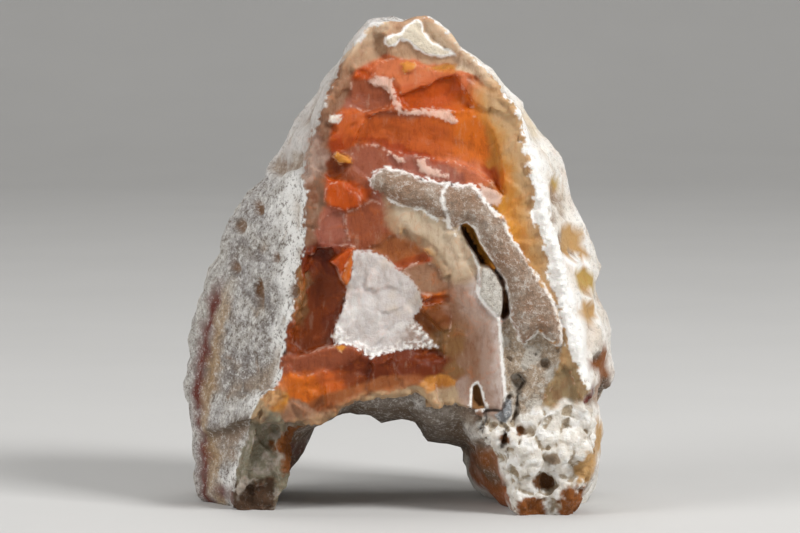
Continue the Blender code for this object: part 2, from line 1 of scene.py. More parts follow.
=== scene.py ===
"""The looks of the fortification agate: one finely shaped stone in place of the plain solid.

The stone is shaped as in the part, only finer. Outlines are (x, z) in millimetres, seen from
the broken face, and become metres with MM. The mesh keeps each point's colour, and how waxy and
how speckled it is, for the material.
"""

import math

import bmesh
import bpy
import numpy as np
from mathutils import Matrix, Vector, noise


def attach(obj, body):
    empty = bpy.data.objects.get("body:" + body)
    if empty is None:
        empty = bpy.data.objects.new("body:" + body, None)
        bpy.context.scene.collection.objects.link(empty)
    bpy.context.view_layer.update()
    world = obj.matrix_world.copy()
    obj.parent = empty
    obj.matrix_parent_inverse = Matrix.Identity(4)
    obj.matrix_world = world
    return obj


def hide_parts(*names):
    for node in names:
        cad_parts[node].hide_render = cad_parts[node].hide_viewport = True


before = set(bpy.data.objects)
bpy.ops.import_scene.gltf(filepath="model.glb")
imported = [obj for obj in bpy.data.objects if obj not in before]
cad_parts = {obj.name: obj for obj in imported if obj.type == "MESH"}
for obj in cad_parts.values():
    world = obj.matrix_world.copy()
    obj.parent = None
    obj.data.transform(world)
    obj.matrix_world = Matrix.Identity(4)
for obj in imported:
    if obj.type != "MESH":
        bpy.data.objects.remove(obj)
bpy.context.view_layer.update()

MM = 0.001

# The depth, and the places of the four outlines along Y at mid height
STONE_DEPTH = 30.0
FACE_DEPTH = -0.48 * STONE_DEPTH
WAIST_DEPTH = 0.0
WALL_DEPTH = 0.2 * STONE_DEPTH
BACK_DEPTH = 0.37 * STONE_DEPTH
BACK_DOME = 0.12 * STONE_DEPTH
MID_HEIGHT = 25.0
HALF_HEIGHT = 38.0
TAPER_AT_TOP = 0.3
BACKWARD_DROP = 0.08

# The sides lie behind the face, so they are a little wider apart than they look beside it
SIDE_SPREAD = 1.025

# Mesh: face sizes before and after the surface is shaped, and how many triangles are kept
ROUGH_FACE = 0.3
FINE_FACE = 0.2
RIND_TRIANGLES = 80000
FACE_TRIANGLES = 112000
SNAP = 0.005

# How many corners each stretch of an outline is given
CORNERS = {"top": 6, "right": 46, "right_sole": 12, "arch": 40, "left_sole": 10, "left": 48}

# The rim of the broken face
RIM = {
    "top": [(-3.6, 61.6), (-1.0, 62.4), (3.2, 62.8)],
    "right": [
        (4.6, 61.6), (9.2, 57.3), (12.5, 54.3), (14.3, 51.2), (15.9, 46.8), (17.1, 43.1), (18.1, 39.4),
        (19.4, 33.5), (21.0, 27.8), (21.9, 24.1), (22.4, 20.4), (23.6, 14.8), (24.2, 11.9), (24.2, 8.0),
        (23.2, 3.8), (21.8, 1.2),
    ],
    "right_sole": [(21.0, -0.6), (18.6, -0.9), (15.4, -0.6)],
    "arch": [
        (14.3, 2.5), (13.7, 5.6), (12.7, 8.1), (10.8, 10.0), (10.2, 12.5), (9.6, 13.8), (6.8, 13.9),
        (4.1, 13.1), (3.4, 15.0), (2.6, 16.0), (0.5, 16.0), (-0.3, 15.1), (-4.0, 14.8), (-6.6, 13.9),
        (-8.5, 12.5), (-11.2, 11.6), (-13.6, 11.0), (-14.6, 8.6), (-14.2, 6.0), (-14.9, 2.8), (-15.6, 1.2),
    ],
    "left_sole": [(-15.9, -0.4), (-18.6, -0.8), (-20.6, -0.4)],
    "left": [
        (-20.2, 5.0), (-18.8, 9.4), (-18.1, 12.4), (-17.0, 14.6), (-15.1, 16.3), (-14.5, 18.8),
        (-14.2, 21.3), (-13.5, 24.4), (-12.5, 27.8), (-12.6, 30.6), (-11.8, 33.0), (-11.6, 36.3),
        (-11.4, 40.0), (-11.9, 43.1), (-11.4, 46.9), (-9.8, 49.4), (-8.2, 54.0), (-6.9, 57.1), (-5.2, 59.8),
    ],
}

# The widest outline, which is the silhouette from the front
WAIST = {
    "top": [(-3.3, 62.9), (0.0, 63.3), (3.4, 63.3)],
    "right": [
        (5.6, 61.0), (7.5, 59.5), (11.0, 56.5), (12.8, 55.0), (13.9, 53.5), (16.4, 50.5), (18.1, 47.6),
        (19.9, 46.4), (21.0, 43.0), (21.5, 40.0), (23.5, 35.5), (25.1, 32.5), (25.4, 30.0), (25.1, 28.0),
        (25.8, 25.0), (26.8, 22.0), (26.8, 18.5), (26.3, 16.2), (24.6, 14.0), (25.4, 11.0), (25.6, 8.8),
        (25.1, 6.1), (23.8, 2.0),
    ],
    "right_sole": [(22.6, 0.0), (17.5, -0.1), (14.6, 0.2)],
    "arch": [
        (11.8, 1.7), (10.1, 3.0), (8.6, 5.4), (8.4, 7.8), (5.5, 9.1), (3.6, 9.1), (2.5, 10.1), (2.1, 11.4),
        (-0.6, 11.9), (-2.4, 11.6), (-3.4, 12.5), (-6.6, 13.3), (-7.4, 13.0), (-9.8, 11.8), (-11.6, 10.0),
        (-12.9, 7.0), (-13.8, 5.5), (-15.6, 2.5),
    ],
    "left_sole": [(-16.6, 0.6), (-18.6, 0.0), (-23.4, 0.0)],
    "left": [
        (-25.2, 1.4), (-25.7, 4.0), (-25.3, 5.4), (-26.1, 7.3), (-26.4, 11.5), (-26.9, 16.0), (-26.4, 19.3),
        (-25.9, 23.5), (-24.9, 28.0), (-23.8, 31.0), (-22.1, 34.0), (-21.2, 37.0), (-20.5, 38.8),
        (-18.4, 41.5), (-17.0, 42.7), (-16.7, 44.7), (-14.6, 47.5), (-12.8, 50.5), (-10.5, 53.5),
        (-9.7, 55.3), (-7.3, 58.0), (-5.6, 60.8),
    ],
}

# The outline where the back starts to round off
BACK = {
    "top": [(-2.0, 58.4), (0.0, 59.0), (2.4, 58.6)],
    "right": [
        (8.0, 54.6), (14.0, 47.0), (18.0, 39.4), (21.4, 31.0), (22.8, 22.0), (22.6, 12.0), (22.0, 4.0),
    ],
    "right_sole": [(20.8, 0.0), (16.6, -0.1), (13.6, 0.2)],
    "arch": [
        (11.0, 4.4), (9.8, 8.0), (5.4, 11.6), (0.0, 13.8), (-6.2, 15.4), (-10.8, 12.6), (-13.8, 7.4),
        (-15.8, 3.0),
    ],
    "left_sole": [(-17.0, 0.4), (-18.6, 0.0), (-22.2, 0.0)],
    "left": [
        (-23.6, 3.4), (-24.2, 12.0), (-23.4, 21.0), (-20.6, 31.0), (-15.4, 41.4), (-9.6, 50.6),
        (-5.0, 56.4),
    ],
}

# Shapes on the broken face
SEPTUM = [
    (-3.9, 42.5), (-2.9, 43.6), (-1.9, 44.1), (-1.0, 43.8), (0.2, 43.5), (1.6, 43.2), (2.6, 42.6),
    (4.1, 42.4), (5.4, 42.0), (7.1, 41.8), (9.0, 41.9), (9.8, 41.2), (10.2, 40.4), (11.1, 39.4),
    (12.1, 38.2), (12.9, 37.9), (13.6, 36.0), (14.8, 34.2), (16.0, 32.5), (17.2, 30.5), (18.8, 28.2),
    (19.6, 26.5), (20.2, 24.6), (20.4, 22.1), (19.8, 21.4), (18.5, 22.5), (17.5, 23.4), (16.8, 22.9),
    (15.6, 21.8), (14.9, 22.6), (14.5, 23.9), (13.8, 25.2), (13.8, 25.8), (13.6, 27.8), (12.9, 30.2),
    (11.6, 32.2), (10.1, 34.5), (9.4, 36.2), (8.4, 37.0), (7.5, 36.6), (7.1, 35.8), (6.4, 36.4),
    (5.9, 37.4), (4.4, 37.6), (2.6, 38.8), (1.1, 38.9), (-0.1, 39.2), (-1.6, 40.1), (-3.4, 41.0),
]
CREVICE = [
    (7.5, 36.8), (8.4, 37.1), (9.4, 36.2), (10.1, 34.5), (11.6, 32.2), (12.9, 30.2), (13.6, 27.8),
    (13.8, 25.6), (13.0, 24.8), (12.6, 25.2), (13.0, 27.5), (12.9, 29.0), (12.2, 30.5), (11.2, 31.5),
    (10.1, 31.8), (9.6, 32.8), (8.6, 34.2), (7.9, 35.5),
]
PLATE = [
    (10.1, 31.5), (11.4, 31.5), (12.2, 30.5), (12.9, 29.0), (13.0, 27.5), (12.9, 25.2), (12.2, 25.5),
    (10.6, 27.0), (9.9, 27.9), (10.1, 29.6),
]
FLOOR = [
    (12.8, 24.4), (13.8, 25.2), (14.5, 23.9), (14.9, 22.6), (15.6, 21.8), (16.8, 22.9), (17.5, 23.4),
    (18.5, 22.5), (19.8, 21.4), (20.4, 22.1), (20.2, 20.1), (19.5, 18.4), (18.4, 16.2), (17.8, 14.0),
    (17.1, 12.5), (15.6, 12.0), (13.6, 12.0), (13.2, 14.4), (13.1, 17.9), (12.8, 21.6),
]
QUARTZ = [
    (-5.8, 33.6), (-3.8, 33.6), (-1.8, 32.8), (-0.5, 31.4), (1.4, 30.1), (2.5, 28.2), (2.8, 26.8),
    (2.4, 25.9), (1.5, 25.2), (2.8, 23.8), (4.4, 21.8), (4.8, 21.4), (3.2, 21.4), (2.0, 21.3), (-0.5, 21.0),
    (-2.4, 20.6), (-3.8, 20.2), (-4.6, 21.0), (-6.1, 21.8), (-8.2, 21.9), (-8.5, 22.8), (-7.8, 24.8),
    (-7.0, 26.5), (-6.8, 28.1), (-6.6, 29.1), (-6.0, 30.6),
]
TOP_CHALK = [
    (-1.9, 59.2), (-1.9, 60.1), (-1.0, 60.5), (0.1, 60.8), (0.6, 61.4), (2.0, 62.5), (2.8, 62.2),
    (3.0, 60.9), (4.2, 59.6), (6.2, 58.6), (7.0, 58.0), (5.1, 57.6), (3.6, 57.9), (2.2, 58.6), (1.0, 59.6),
    (0.1, 59.9), (-0.5, 59.1), (-1.4, 59.0),
]
NOTCH = [
    (9.1, 16.5), (9.8, 16.9), (10.2, 16.2), (10.6, 14.6), (11.0, 13.6), (8.9, 13.4), (9.0, 15.0),
]
CRACKS = [
    [(10.7, 13.4), (10.9, 12.3), (10.2, 10.7)],
    [(10.9, 13.4), (12.8, 13.4), (13.4, 14.8), (13.8, 15.1)],
    [(14.1, 12.0), (14.7, 12.9), (14.9, 15.8), (15.7, 16.9), (15.0, 17.7)],
    [(12.8, 11.8), (13.4, 11.2), (12.8, 8.9)],
]
SLATE_CHIP = [
    (11.8, 12.9), (12.8, 13.5), (13.4, 14.8), (14.1, 14.8), (14.2, 12.9), (13.4, 11.8), (12.5, 12.0),
]
GOLDEN_STREAK = [(8.2, 36.9), (9.4, 35.2), (10.6, 32.8), (11.6, 31.4)]
DIVIDING_LINE = [(6.1, 41.9), (5.3, 41.0), (5.4, 39.5), (6.0, 38.0), (6.2, 36.6)]
SEPTUM_FOOT = [(1.0, 38.4), (4.4, 36.6), (6.4, 34.8), (7.8, 32.6)]
PLATE_EDGE = [
    (8.6, 34.8), (9.4, 33.0), (9.9, 31.4), (9.8, 28.2), (10.6, 27.0), (12.3, 25.2), (12.6, 24.0),
    (12.8, 20.5), (13.3, 14.6),
]
LOWER_BAND = [
    (-14.6, 19.6), (-12.3, 20.6), (-9.8, 21.4), (-6.6, 21.6), (-5.2, 21.0), (-2.9, 19.9), (0.6, 20.6),
    (5.0, 20.2), (6.6, 18.6), (7.4, 16.0), (7.4, 10.0), (-14.0, 10.0), (-17.4, 13.6), (-15.4, 17.0),
]

# Flat flakes and chips of the fracture: colour, how much of it shows, depth, then its slope along
# x, its slope along z and the extra depth in its middle, and its outline
LEVEL = (0.0, 0.0, 0.0)
FACETS = [
    ("salmon", 0.45, 0.3, (0.0, 0.04, 0.0), [
        (-4.0, 56.1), (-3.0, 57.1), (-1.0, 57.6), (0.6, 57.5), (3.5, 56.8), (4.6, 56.1), (6.6, 56.2),
        (7.4, 55.5), (5.9, 55.2), (4.6, 54.8), (4.0, 54.2), (2.5, 53.9), (0.9, 53.2), (0.0, 52.9),
        (0.0, 53.9), (-0.9, 55.1), (-2.2, 55.4), (-3.6, 54.8),
    ]),
    ("flame", 0.6, 0.7, LEVEL, [
        (-5.5, 56.1), (-4.0, 56.1), (-3.5, 55.4), (-4.0, 54.8), (-4.9, 55.2),
    ]),
    ("flame", 0.6, 1.2, (0.0, 0.05, 0.5), [
        (0.0, 52.9), (0.9, 53.2), (2.5, 53.9), (4.0, 54.2), (4.6, 54.8), (5.9, 55.2), (7.4, 55.5),
        (7.9, 53.8), (9.0, 52.4), (9.4, 51.5), (7.1, 50.9), (5.1, 51.1), (3.2, 51.2), (0.9, 51.1),
        (0.2, 51.9),
    ]),
    ("salmon", 0.45, 0.1, (0.05, 0.05, 0.1), [
        (7.1, 56.1), (8.2, 55.4), (9.1, 54.6), (10.6, 53.6), (12.0, 52.8), (11.6, 51.8), (11.0, 51.0),
        (9.4, 51.9), (8.4, 53.4), (7.5, 54.6),
    ]),
    ("rose_brown", 0.5, 0.9, (0.06, -0.05, 0.2), [
        (-6.1, 55.0), (-4.9, 55.1), (-3.9, 54.8), (-2.4, 54.0), (-1.6, 53.8), (-1.0, 52.4), (-1.2, 51.6),
        (-2.4, 51.1), (-4.6, 50.9), (-6.2, 51.6),
    ]),
    ("deep_orange", 0.0, 1.1, (-0.02, -0.13, 0.4), [
        (-5.9, 46.5), (-5.2, 48.2), (-4.1, 50.1), (-2.4, 51.0), (-0.1, 50.8), (3.2, 50.4), (5.1, 50.0),
        (6.6, 49.2), (8.4, 50.2), (10.1, 50.5), (11.6, 48.5), (12.6, 45.0), (13.1, 40.5), (11.4, 42.2),
        (9.5, 43.5), (7.1, 44.6), (3.9, 45.0), (1.6, 45.5), (-1.1, 45.9), (-3.4, 46.8),
    ]),
    # Painted sheen: the rose colour of this upward-tilted band is partly a painted pinkish reflection over
    # the orange
    ("rose", 0.35, 0.8, (0.0, 0.08, 0.0), [
        (-5.9, 46.5), (-3.4, 46.8), (-1.1, 45.9), (1.6, 45.5), (3.9, 45.0), (7.1, 44.6), (9.5, 43.5),
        (11.4, 42.2), (13.1, 40.5), (12.2, 39.0), (11.0, 39.6), (9.4, 41.2), (7.5, 41.9), (3.6, 42.5),
        (1.1, 43.5), (-1.4, 44.0), (-2.9, 43.5), (-3.9, 42.5), (-4.6, 43.0), (-5.9, 44.2),
    ]),
    # Painted sheen: this rose flake is partly a painted pinkish reflection over the orange
    ("rose", 0.4, 0.9, (0.1, 0.0, 0.0), [
        (-9.8, 37.2), (-8.5, 38.5), (-7.0, 38.4), (-6.8, 36.5), (-6.1, 34.2), (-8.0, 34.0), (-10.1, 34.4),
        (-10.2, 35.9),
    ]),
    ("rose_brown", 0.35, 0.6, (-0.04, -0.05, 0.1), [
        (-6.8, 38.4), (-5.1, 39.0), (-3.4, 40.0), (-1.6, 39.1), (-0.1, 38.5), (0.6, 37.2), (-0.1, 35.5),
        (-1.4, 35.2), (-2.6, 34.2), (-4.9, 33.8), (-6.1, 34.2), (-6.8, 36.5),
    ]),
    ("honey_grey", 0.15, 0.3, (0.05, 0.05, 0.0), [
        (0.6, 38.6), (2.4, 38.2), (4.6, 36.9), (6.0, 35.2), (6.6, 33.0), (6.2, 31.5), (5.1, 33.0),
        (3.2, 35.0), (1.4, 35.8), (0.1, 37.0),
    ]),
    ("fox", 0.4, 1.2, (0.0, -0.1, 0.3), [
        (-2.6, 34.2), (-1.4, 35.2), (1.4, 35.5), (3.2, 34.6), (3.9, 33.1), (3.4, 32.2), (2.2, 32.1),
        (0.2, 31.2), (-1.1, 31.8), (-1.8, 32.8),
    ]),
    ("umber", 0.45, 0.7, (0.05, 0.08, 0.0), [
        (0.2, 31.2), (2.2, 32.1), (3.4, 32.2), (4.6, 31.5), (5.6, 30.0), (5.4, 28.5), (4.1, 27.9),
        (2.6, 28.2), (1.6, 30.0),
    ]),
    ("flame", 0.5, 1.2, (0.0, 0.15, 0.0), [
        (2.9, 27.1), (4.1, 27.9), (6.6, 28.0), (6.9, 27.1), (4.9, 27.0), (3.1, 26.6),
    ]),
    ("dark_red", 0.1, 1.7, (-0.05, 0.0, 0.4), [
        (-10.4, 34.0), (-8.6, 33.9), (-7.6, 32.2), (-7.9, 31.5), (-7.2, 29.9), (-6.6, 29.0), (-6.9, 27.5),
        (-7.2, 26.0), (-8.1, 24.0), (-8.5, 22.8), (-8.2, 21.9), (-9.9, 21.2), (-12.4, 20.5), (-13.6, 21.8),
        (-13.4, 24.8), (-12.6, 27.5), (-12.0, 30.5), (-11.4, 32.8),
    ]),
    # Painted light: this ledge faces up and is coloured lighter where light from above falls on it
    ("rose_brown", 0.45, -0.2, (-0.03, -0.12, 0.0), [
        (-14.1, 19.8), (-12.4, 20.5), (-9.9, 21.4), (-7.4, 21.8), (-5.9, 21.6), (-4.6, 21.0), (-5.4, 19.9),
        (-7.4, 19.0), (-9.6, 18.5), (-11.9, 17.8), (-13.5, 18.2),
    ]),
    ("lilac", 0.0, 0.4, LEVEL, [
        (6.6, 32.2), (8.2, 32.2), (9.9, 29.8), (10.6, 27.5), (12.4, 25.2), (12.8, 23.8), (13.1, 20.0),
        (13.2, 14.4), (12.2, 13.6), (10.5, 14.0), (10.4, 16.5), (9.2, 16.8), (8.9, 15.0), (6.6, 13.5),
        (5.4, 13.5), (4.8, 15.0), (4.4, 17.5), (5.9, 21.2), (6.4, 25.0), (6.2, 28.8),
    ]),
    ("olive_tan", 0.75, 0.9, (0.0, 0.0, 0.2), [
        (17.2, 12.8), (18.2, 15.0), (19.2, 16.9), (20.5, 19.0), (21.5, 18.5), (22.2, 16.2), (22.4, 14.4),
        (20.8, 14.6), (19.2, 13.8), (18.2, 13.2),
    ]),
    # Painted highlight: the pale rose chips below are partly a painted catch-light on the steps' edges and
    # partly pale crystal
    ("pale_rose", 0.75, 0.4, LEVEL, [
        (-3.9, 54.8), (-2.9, 55.4), (-0.9, 55.1), (-1.0, 54.1), (-0.4, 52.6), (0.4, 51.2), (-0.1, 50.9),
        (-1.0, 52.4), (-1.6, 53.8), (-2.4, 54.0), (-3.5, 54.2),
    ]),
    ("pale_rose", 0.75, 0.5, LEVEL, [
        (-0.1, 51.0), (0.9, 51.1), (3.2, 51.2), (5.1, 51.1), (6.4, 51.0), (7.1, 49.5), (6.4, 49.5),
        (5.1, 50.1), (3.2, 50.5), (0.9, 50.5), (-0.1, 50.6),
    ]),
    ("pale_rose", 0.75, 0.4, LEVEL, [
        (-1.4, 45.9), (0.6, 45.2), (0.2, 44.4), (-0.4, 44.8),
    ]),
    ("pale_rose", 0.75, 0.4, LEVEL, [
        (1.9, 45.1), (3.0, 45.0), (3.5, 44.1), (6.0, 43.0), (5.9, 42.5), (3.4, 43.0), (2.5, 43.6),
    ]),
    ("pale_rose", 0.85, 0.3, LEVEL, [
        (10.1, 41.8), (12.0, 41.1), (13.0, 40.2), (12.1, 39.0), (11.0, 39.5), (10.2, 40.4),
    ]),
    ("golden", 0.8, -0.2, LEVEL, [
        (-8.4, 45.4), (-7.8, 46.0), (-6.9, 45.6), (-6.0, 44.9), (-5.9, 44.4), (-6.8, 44.5), (-7.6, 44.5),
    ]),
    ("cream", 0.9, -0.1, LEVEL, [
        (-9.1, 50.0), (-8.6, 50.4), (-7.2, 50.6), (-7.4, 49.9), (-8.1, 49.4), (-8.9, 49.6),
    ]),
    ("golden", 0.75, -0.2, LEVEL, [
        (0.1, 56.8), (0.8, 57.2), (1.9, 57.0), (2.1, 56.4), (1.5, 55.8), (0.6, 55.8),
    ]),
    ("golden", 0.8, 0.2, LEVEL, [
        (-0.2, 36.8), (0.1, 37.1), (0.5, 36.5), (0.2, 35.6), (-0.1, 36.0),
    ]),
    ("golden", 0.8, 0.2, LEVEL, [
        (2.9, 33.8), (3.5, 34.0), (4.2, 33.6), (4.6, 32.8), (3.8, 33.0),
    ]),
    ("golden", 0.9, -0.3, LEVEL, [
        (-7.9, 21.5), (-7.2, 22.1), (-6.8, 21.6), (-7.4, 21.2),
    ]),
    ("flame", 0.8, -0.7, LEVEL, [
        (-8.8, 32.2), (-6.5, 33.9), (-5.8, 33.9), (-6.9, 31.5), (-7.4, 29.9), (-7.8, 31.5),
    ]),
    ("orange", 0.8, -0.2, LEVEL, [
        (-5.8, 33.9), (-5.8, 32.0), (-6.1, 30.1), (-6.6, 29.1), (-7.4, 29.9), (-6.9, 31.5),
    ]),
    ("golden", 0.8, -0.1, LEVEL, [
        (19.8, 27.2), (20.6, 27.8), (21.2, 26.2), (21.5, 24.4), (20.9, 24.2), (20.1, 25.6),
    ]),
    ("flame", 0.7, 0.0, LEVEL, [
        (-9.4, 41.2), (-8.5, 42.0), (-7.6, 42.5), (-6.8, 42.2), (-6.1, 41.1), (-5.1, 40.9), (-4.8, 39.9),
        (-5.1, 38.9), (-6.1, 38.9), (-6.8, 38.5), (-7.8, 38.9), (-8.6, 39.1), (-9.5, 39.8),
    ]),
]

# Rounded lumps of the right foot, and its pits: x, z, radius, height (negative is a pit)
FOOT_LUMPS = [
    (16.4, 8.4, 3.4, 2.2), (21.6, 8.2, 3.2, 2.0), (18.8, 11.8, 2.8, 1.4), (22.6, 12.8, 2.0, 1.0),
    (16.0, 3.8, 2.8, 1.4), (21.6, 3.2, 2.6, 1.3), (13.2, 10.2, 1.9, 1.3), (12.2, 7.4, 1.8, 0.8),
    (18.3, 4.2, 1.6, -1.9), (13.3, 9.9, 0.8, -1.2), (19.2, 7.2, 1.0, -0.9), (15.6, 10.9, 0.8, -1.0),
    (18.3, 19.2, 0.9, -1.6), (14.8, 17.0, 1.2, -1.8), (20.6, 11.4, 1.2, -0.8), (13.4, 13.4, 1.0, 1.0),
]

# Pits in the crust of the left flank: x, z, half width, half height, depth
CRUST_PITS = [
    (-17.8, 27.8, 0.7, 2.0, 1.4), (-18.0, 38.3, 0.8, 1.0, 0.8), (-20.4, 35.8, 0.9, 1.0, 0.8),
    (-13.3, 28.4, 0.7, 1.0, 0.7), (-15.6, 32.4, 0.5, 0.8, 0.5), (-21.0, 30.6, 0.7, 0.9, 0.5),
]

# Hollows in the right flank and the back: x, y, z, radius, depth
FLANK_HOLLOWS = [
    (20.6, -7.0, 41.0, 2.2, 1.1), (22.4, -7.6, 34.2, 3.0, 1.7), (23.8, -6.0, 29.2, 2.4, 1.5),
    (24.6, -7.0, 24.6, 2.1, 1.1), (25.0, -7.6, 18.4, 1.8, 1.6), (25.2, -2.0, 14.8, 1.6, 1.5),
    (20.0, 1.0, 46.0, 2.0, 0.9), (24.8, 1.4, 12.4, 3.0, 1.4), (25.2, 3.0, 27.0, 3.2, 1.3),
    (18.0, 7.0, 38.0, 3.6, 1.2), (6.0, 14.0, 24.0, 4.2, 1.6), (-9.0, 14.0, 36.0, 3.4, 1.1),
]

# The crust of the left flank, the white rim, and heights and depths of the relief
CRUST_TOP = 42.6
CRUST_THICKNESS = 1.1
RIM_WIDTH = 1.7
SEPTUM_HEIGHT = 1.2
CREVICE_DEPTH = 3.2
QUARTZ_DEPTH = 0.6
FLOOR_DEPTH = 1.3
NOTCH_DEPTH = 1.6
CRACK_DEPTH = 0.9

# The fracture between the named flakes: size, slope and number of two patterns of flat faces
BROAD_FLAKES = (5.0, 0.22, 3)
SMALL_FLAKES = (1.9, 0.16, 5)
CRYSTALS = (2.4, 0.2, 11)
FLAKE_DEPTH = 0.5

# How far beyond the rim and behind the smooth face the points of the broken face lie
RIM_MARGIN = 0.6
FACE_REACH = 4.0

# The lip of the face overhangs the left leg and the arch
LIP_HEIGHT = 11.6
LIP_END = -12.0
LEG_SETBACK = 4.5
UNDERCUT_DEPTH = 1.6
UNDERCUT_WIDTH = 2.0

# Lumps of the skin, with coarse and fine roughness: size and height
LUMP_SIZE = 6.5
LUMP_HEIGHT = 0.9
ROUGH_SIZE = 5.0
ROUGH_HEIGHT = 0.5

# Where the right foot's broken face ends, at its top and on its left
FOOT_TOP = 13.4
FOOT_SIDE = 9.6

# How often points are averaged with their neighbours to tell the hollows from the ridges, for the painted
# shade in the hollows and the painted highlight on the ridges
HOLLOW_ROUNDS = 14

# The layers in the left side of the stone, from the front to the back along Y
OCHRE_LAYER = (-4.4, -2.8)
MAROON_LAYER = (-2.6, -1.2)
LAYER_TOP = 28.0

# The material: how the dark streaks multiply red, green and blue, and how deep its bump is
STREAK_SHADE = (0.62, 0.5, 0.42)
BUMP_DEPTH = 0.4

# The camera: how far from the broken face, how wide it sees there, and the photo's middle
CAMERA_DISTANCE = 0.55
CAMERA_ELEVATION = math.radians(5)
VIEW_WIDTH = 0.100
VIEW_MIDDLE = (0.1, 31.7)
SENSOR = 36.0

# Where the lights aim, in metres
LIGHT_TARGET = (0, 0, 0.03)


def srgb(red, green, blue):
    """A colour of 0 to 255 as the linear values that a shader takes."""
    return tuple(((c / 255 + 0.055) / 1.055) ** 2.4 for c in (red, green, blue))


# Red, green and blue of each colour, from 0 to 255
PALETTE = {
    "flame": (182, 74, 6), "orange": (204, 104, 24), "deep_orange": (186, 88, 32), "salmon": (200, 112, 70),
    "burnt_orange": (160, 60, 12), "burnt": (120, 52, 14), "ember": (102, 38, 6), "dark_red": (104, 38, 12),
    # Rose and pale rose on the next line stand partly for painted sheen over the orange
    "rose_brown": (144, 76, 48), "rose": (156, 92, 74), "pale_rose": (226, 196, 180),
    "brown_amber": (112, 60, 20), "olive_brown": (124, 88, 52), "fox": (148, 86, 46),
    "amber": (186, 124, 52), "golden": (208, 142, 52), "honey": (184, 146, 96),
    "pale_honey": (186, 154, 116), "olive_honey": (178, 148, 84), "honey_grey": (172, 148, 118),
    "milk": (198, 180, 156), "lilac_brown": (132, 98, 76), "lilac": (160, 136, 122),
    "pale_lilac": (196, 182, 174), "lilac_grey": (196, 188, 184), "tan": (180, 146, 116),
    "pale_tan": (208, 184, 156), "umber": (146, 108, 82), "olive_tan": (150, 128, 94),
    "glass_grey": (130, 124, 104), "cream": (222, 216, 206), "ivory": (214, 200, 176),
    "chalk": (192, 186, 176), "white": (246, 244, 240), "crust": (128, 121, 118),
    "ochre_grey": (146, 140, 126), "flank_grey": (184, 177, 171), "sand": (166, 147, 126),
    "septum": (146, 122, 103), "grain": (104, 92, 82), "brown": (112, 74, 42), "dark_brown": (40, 28, 20),
    # The last colour on the next line is painted shade for the underside of the arch
    "bark": (74, 54, 38), "maroon": (98, 44, 36), "ochre": (166, 134, 92), "arch_shade": (104, 88, 72),
    "rust": (126, 72, 26), "slate": (122, 126, 130),
}
COLOURS = {name: srgb(*parts) for name, parts in PALETTE.items()}
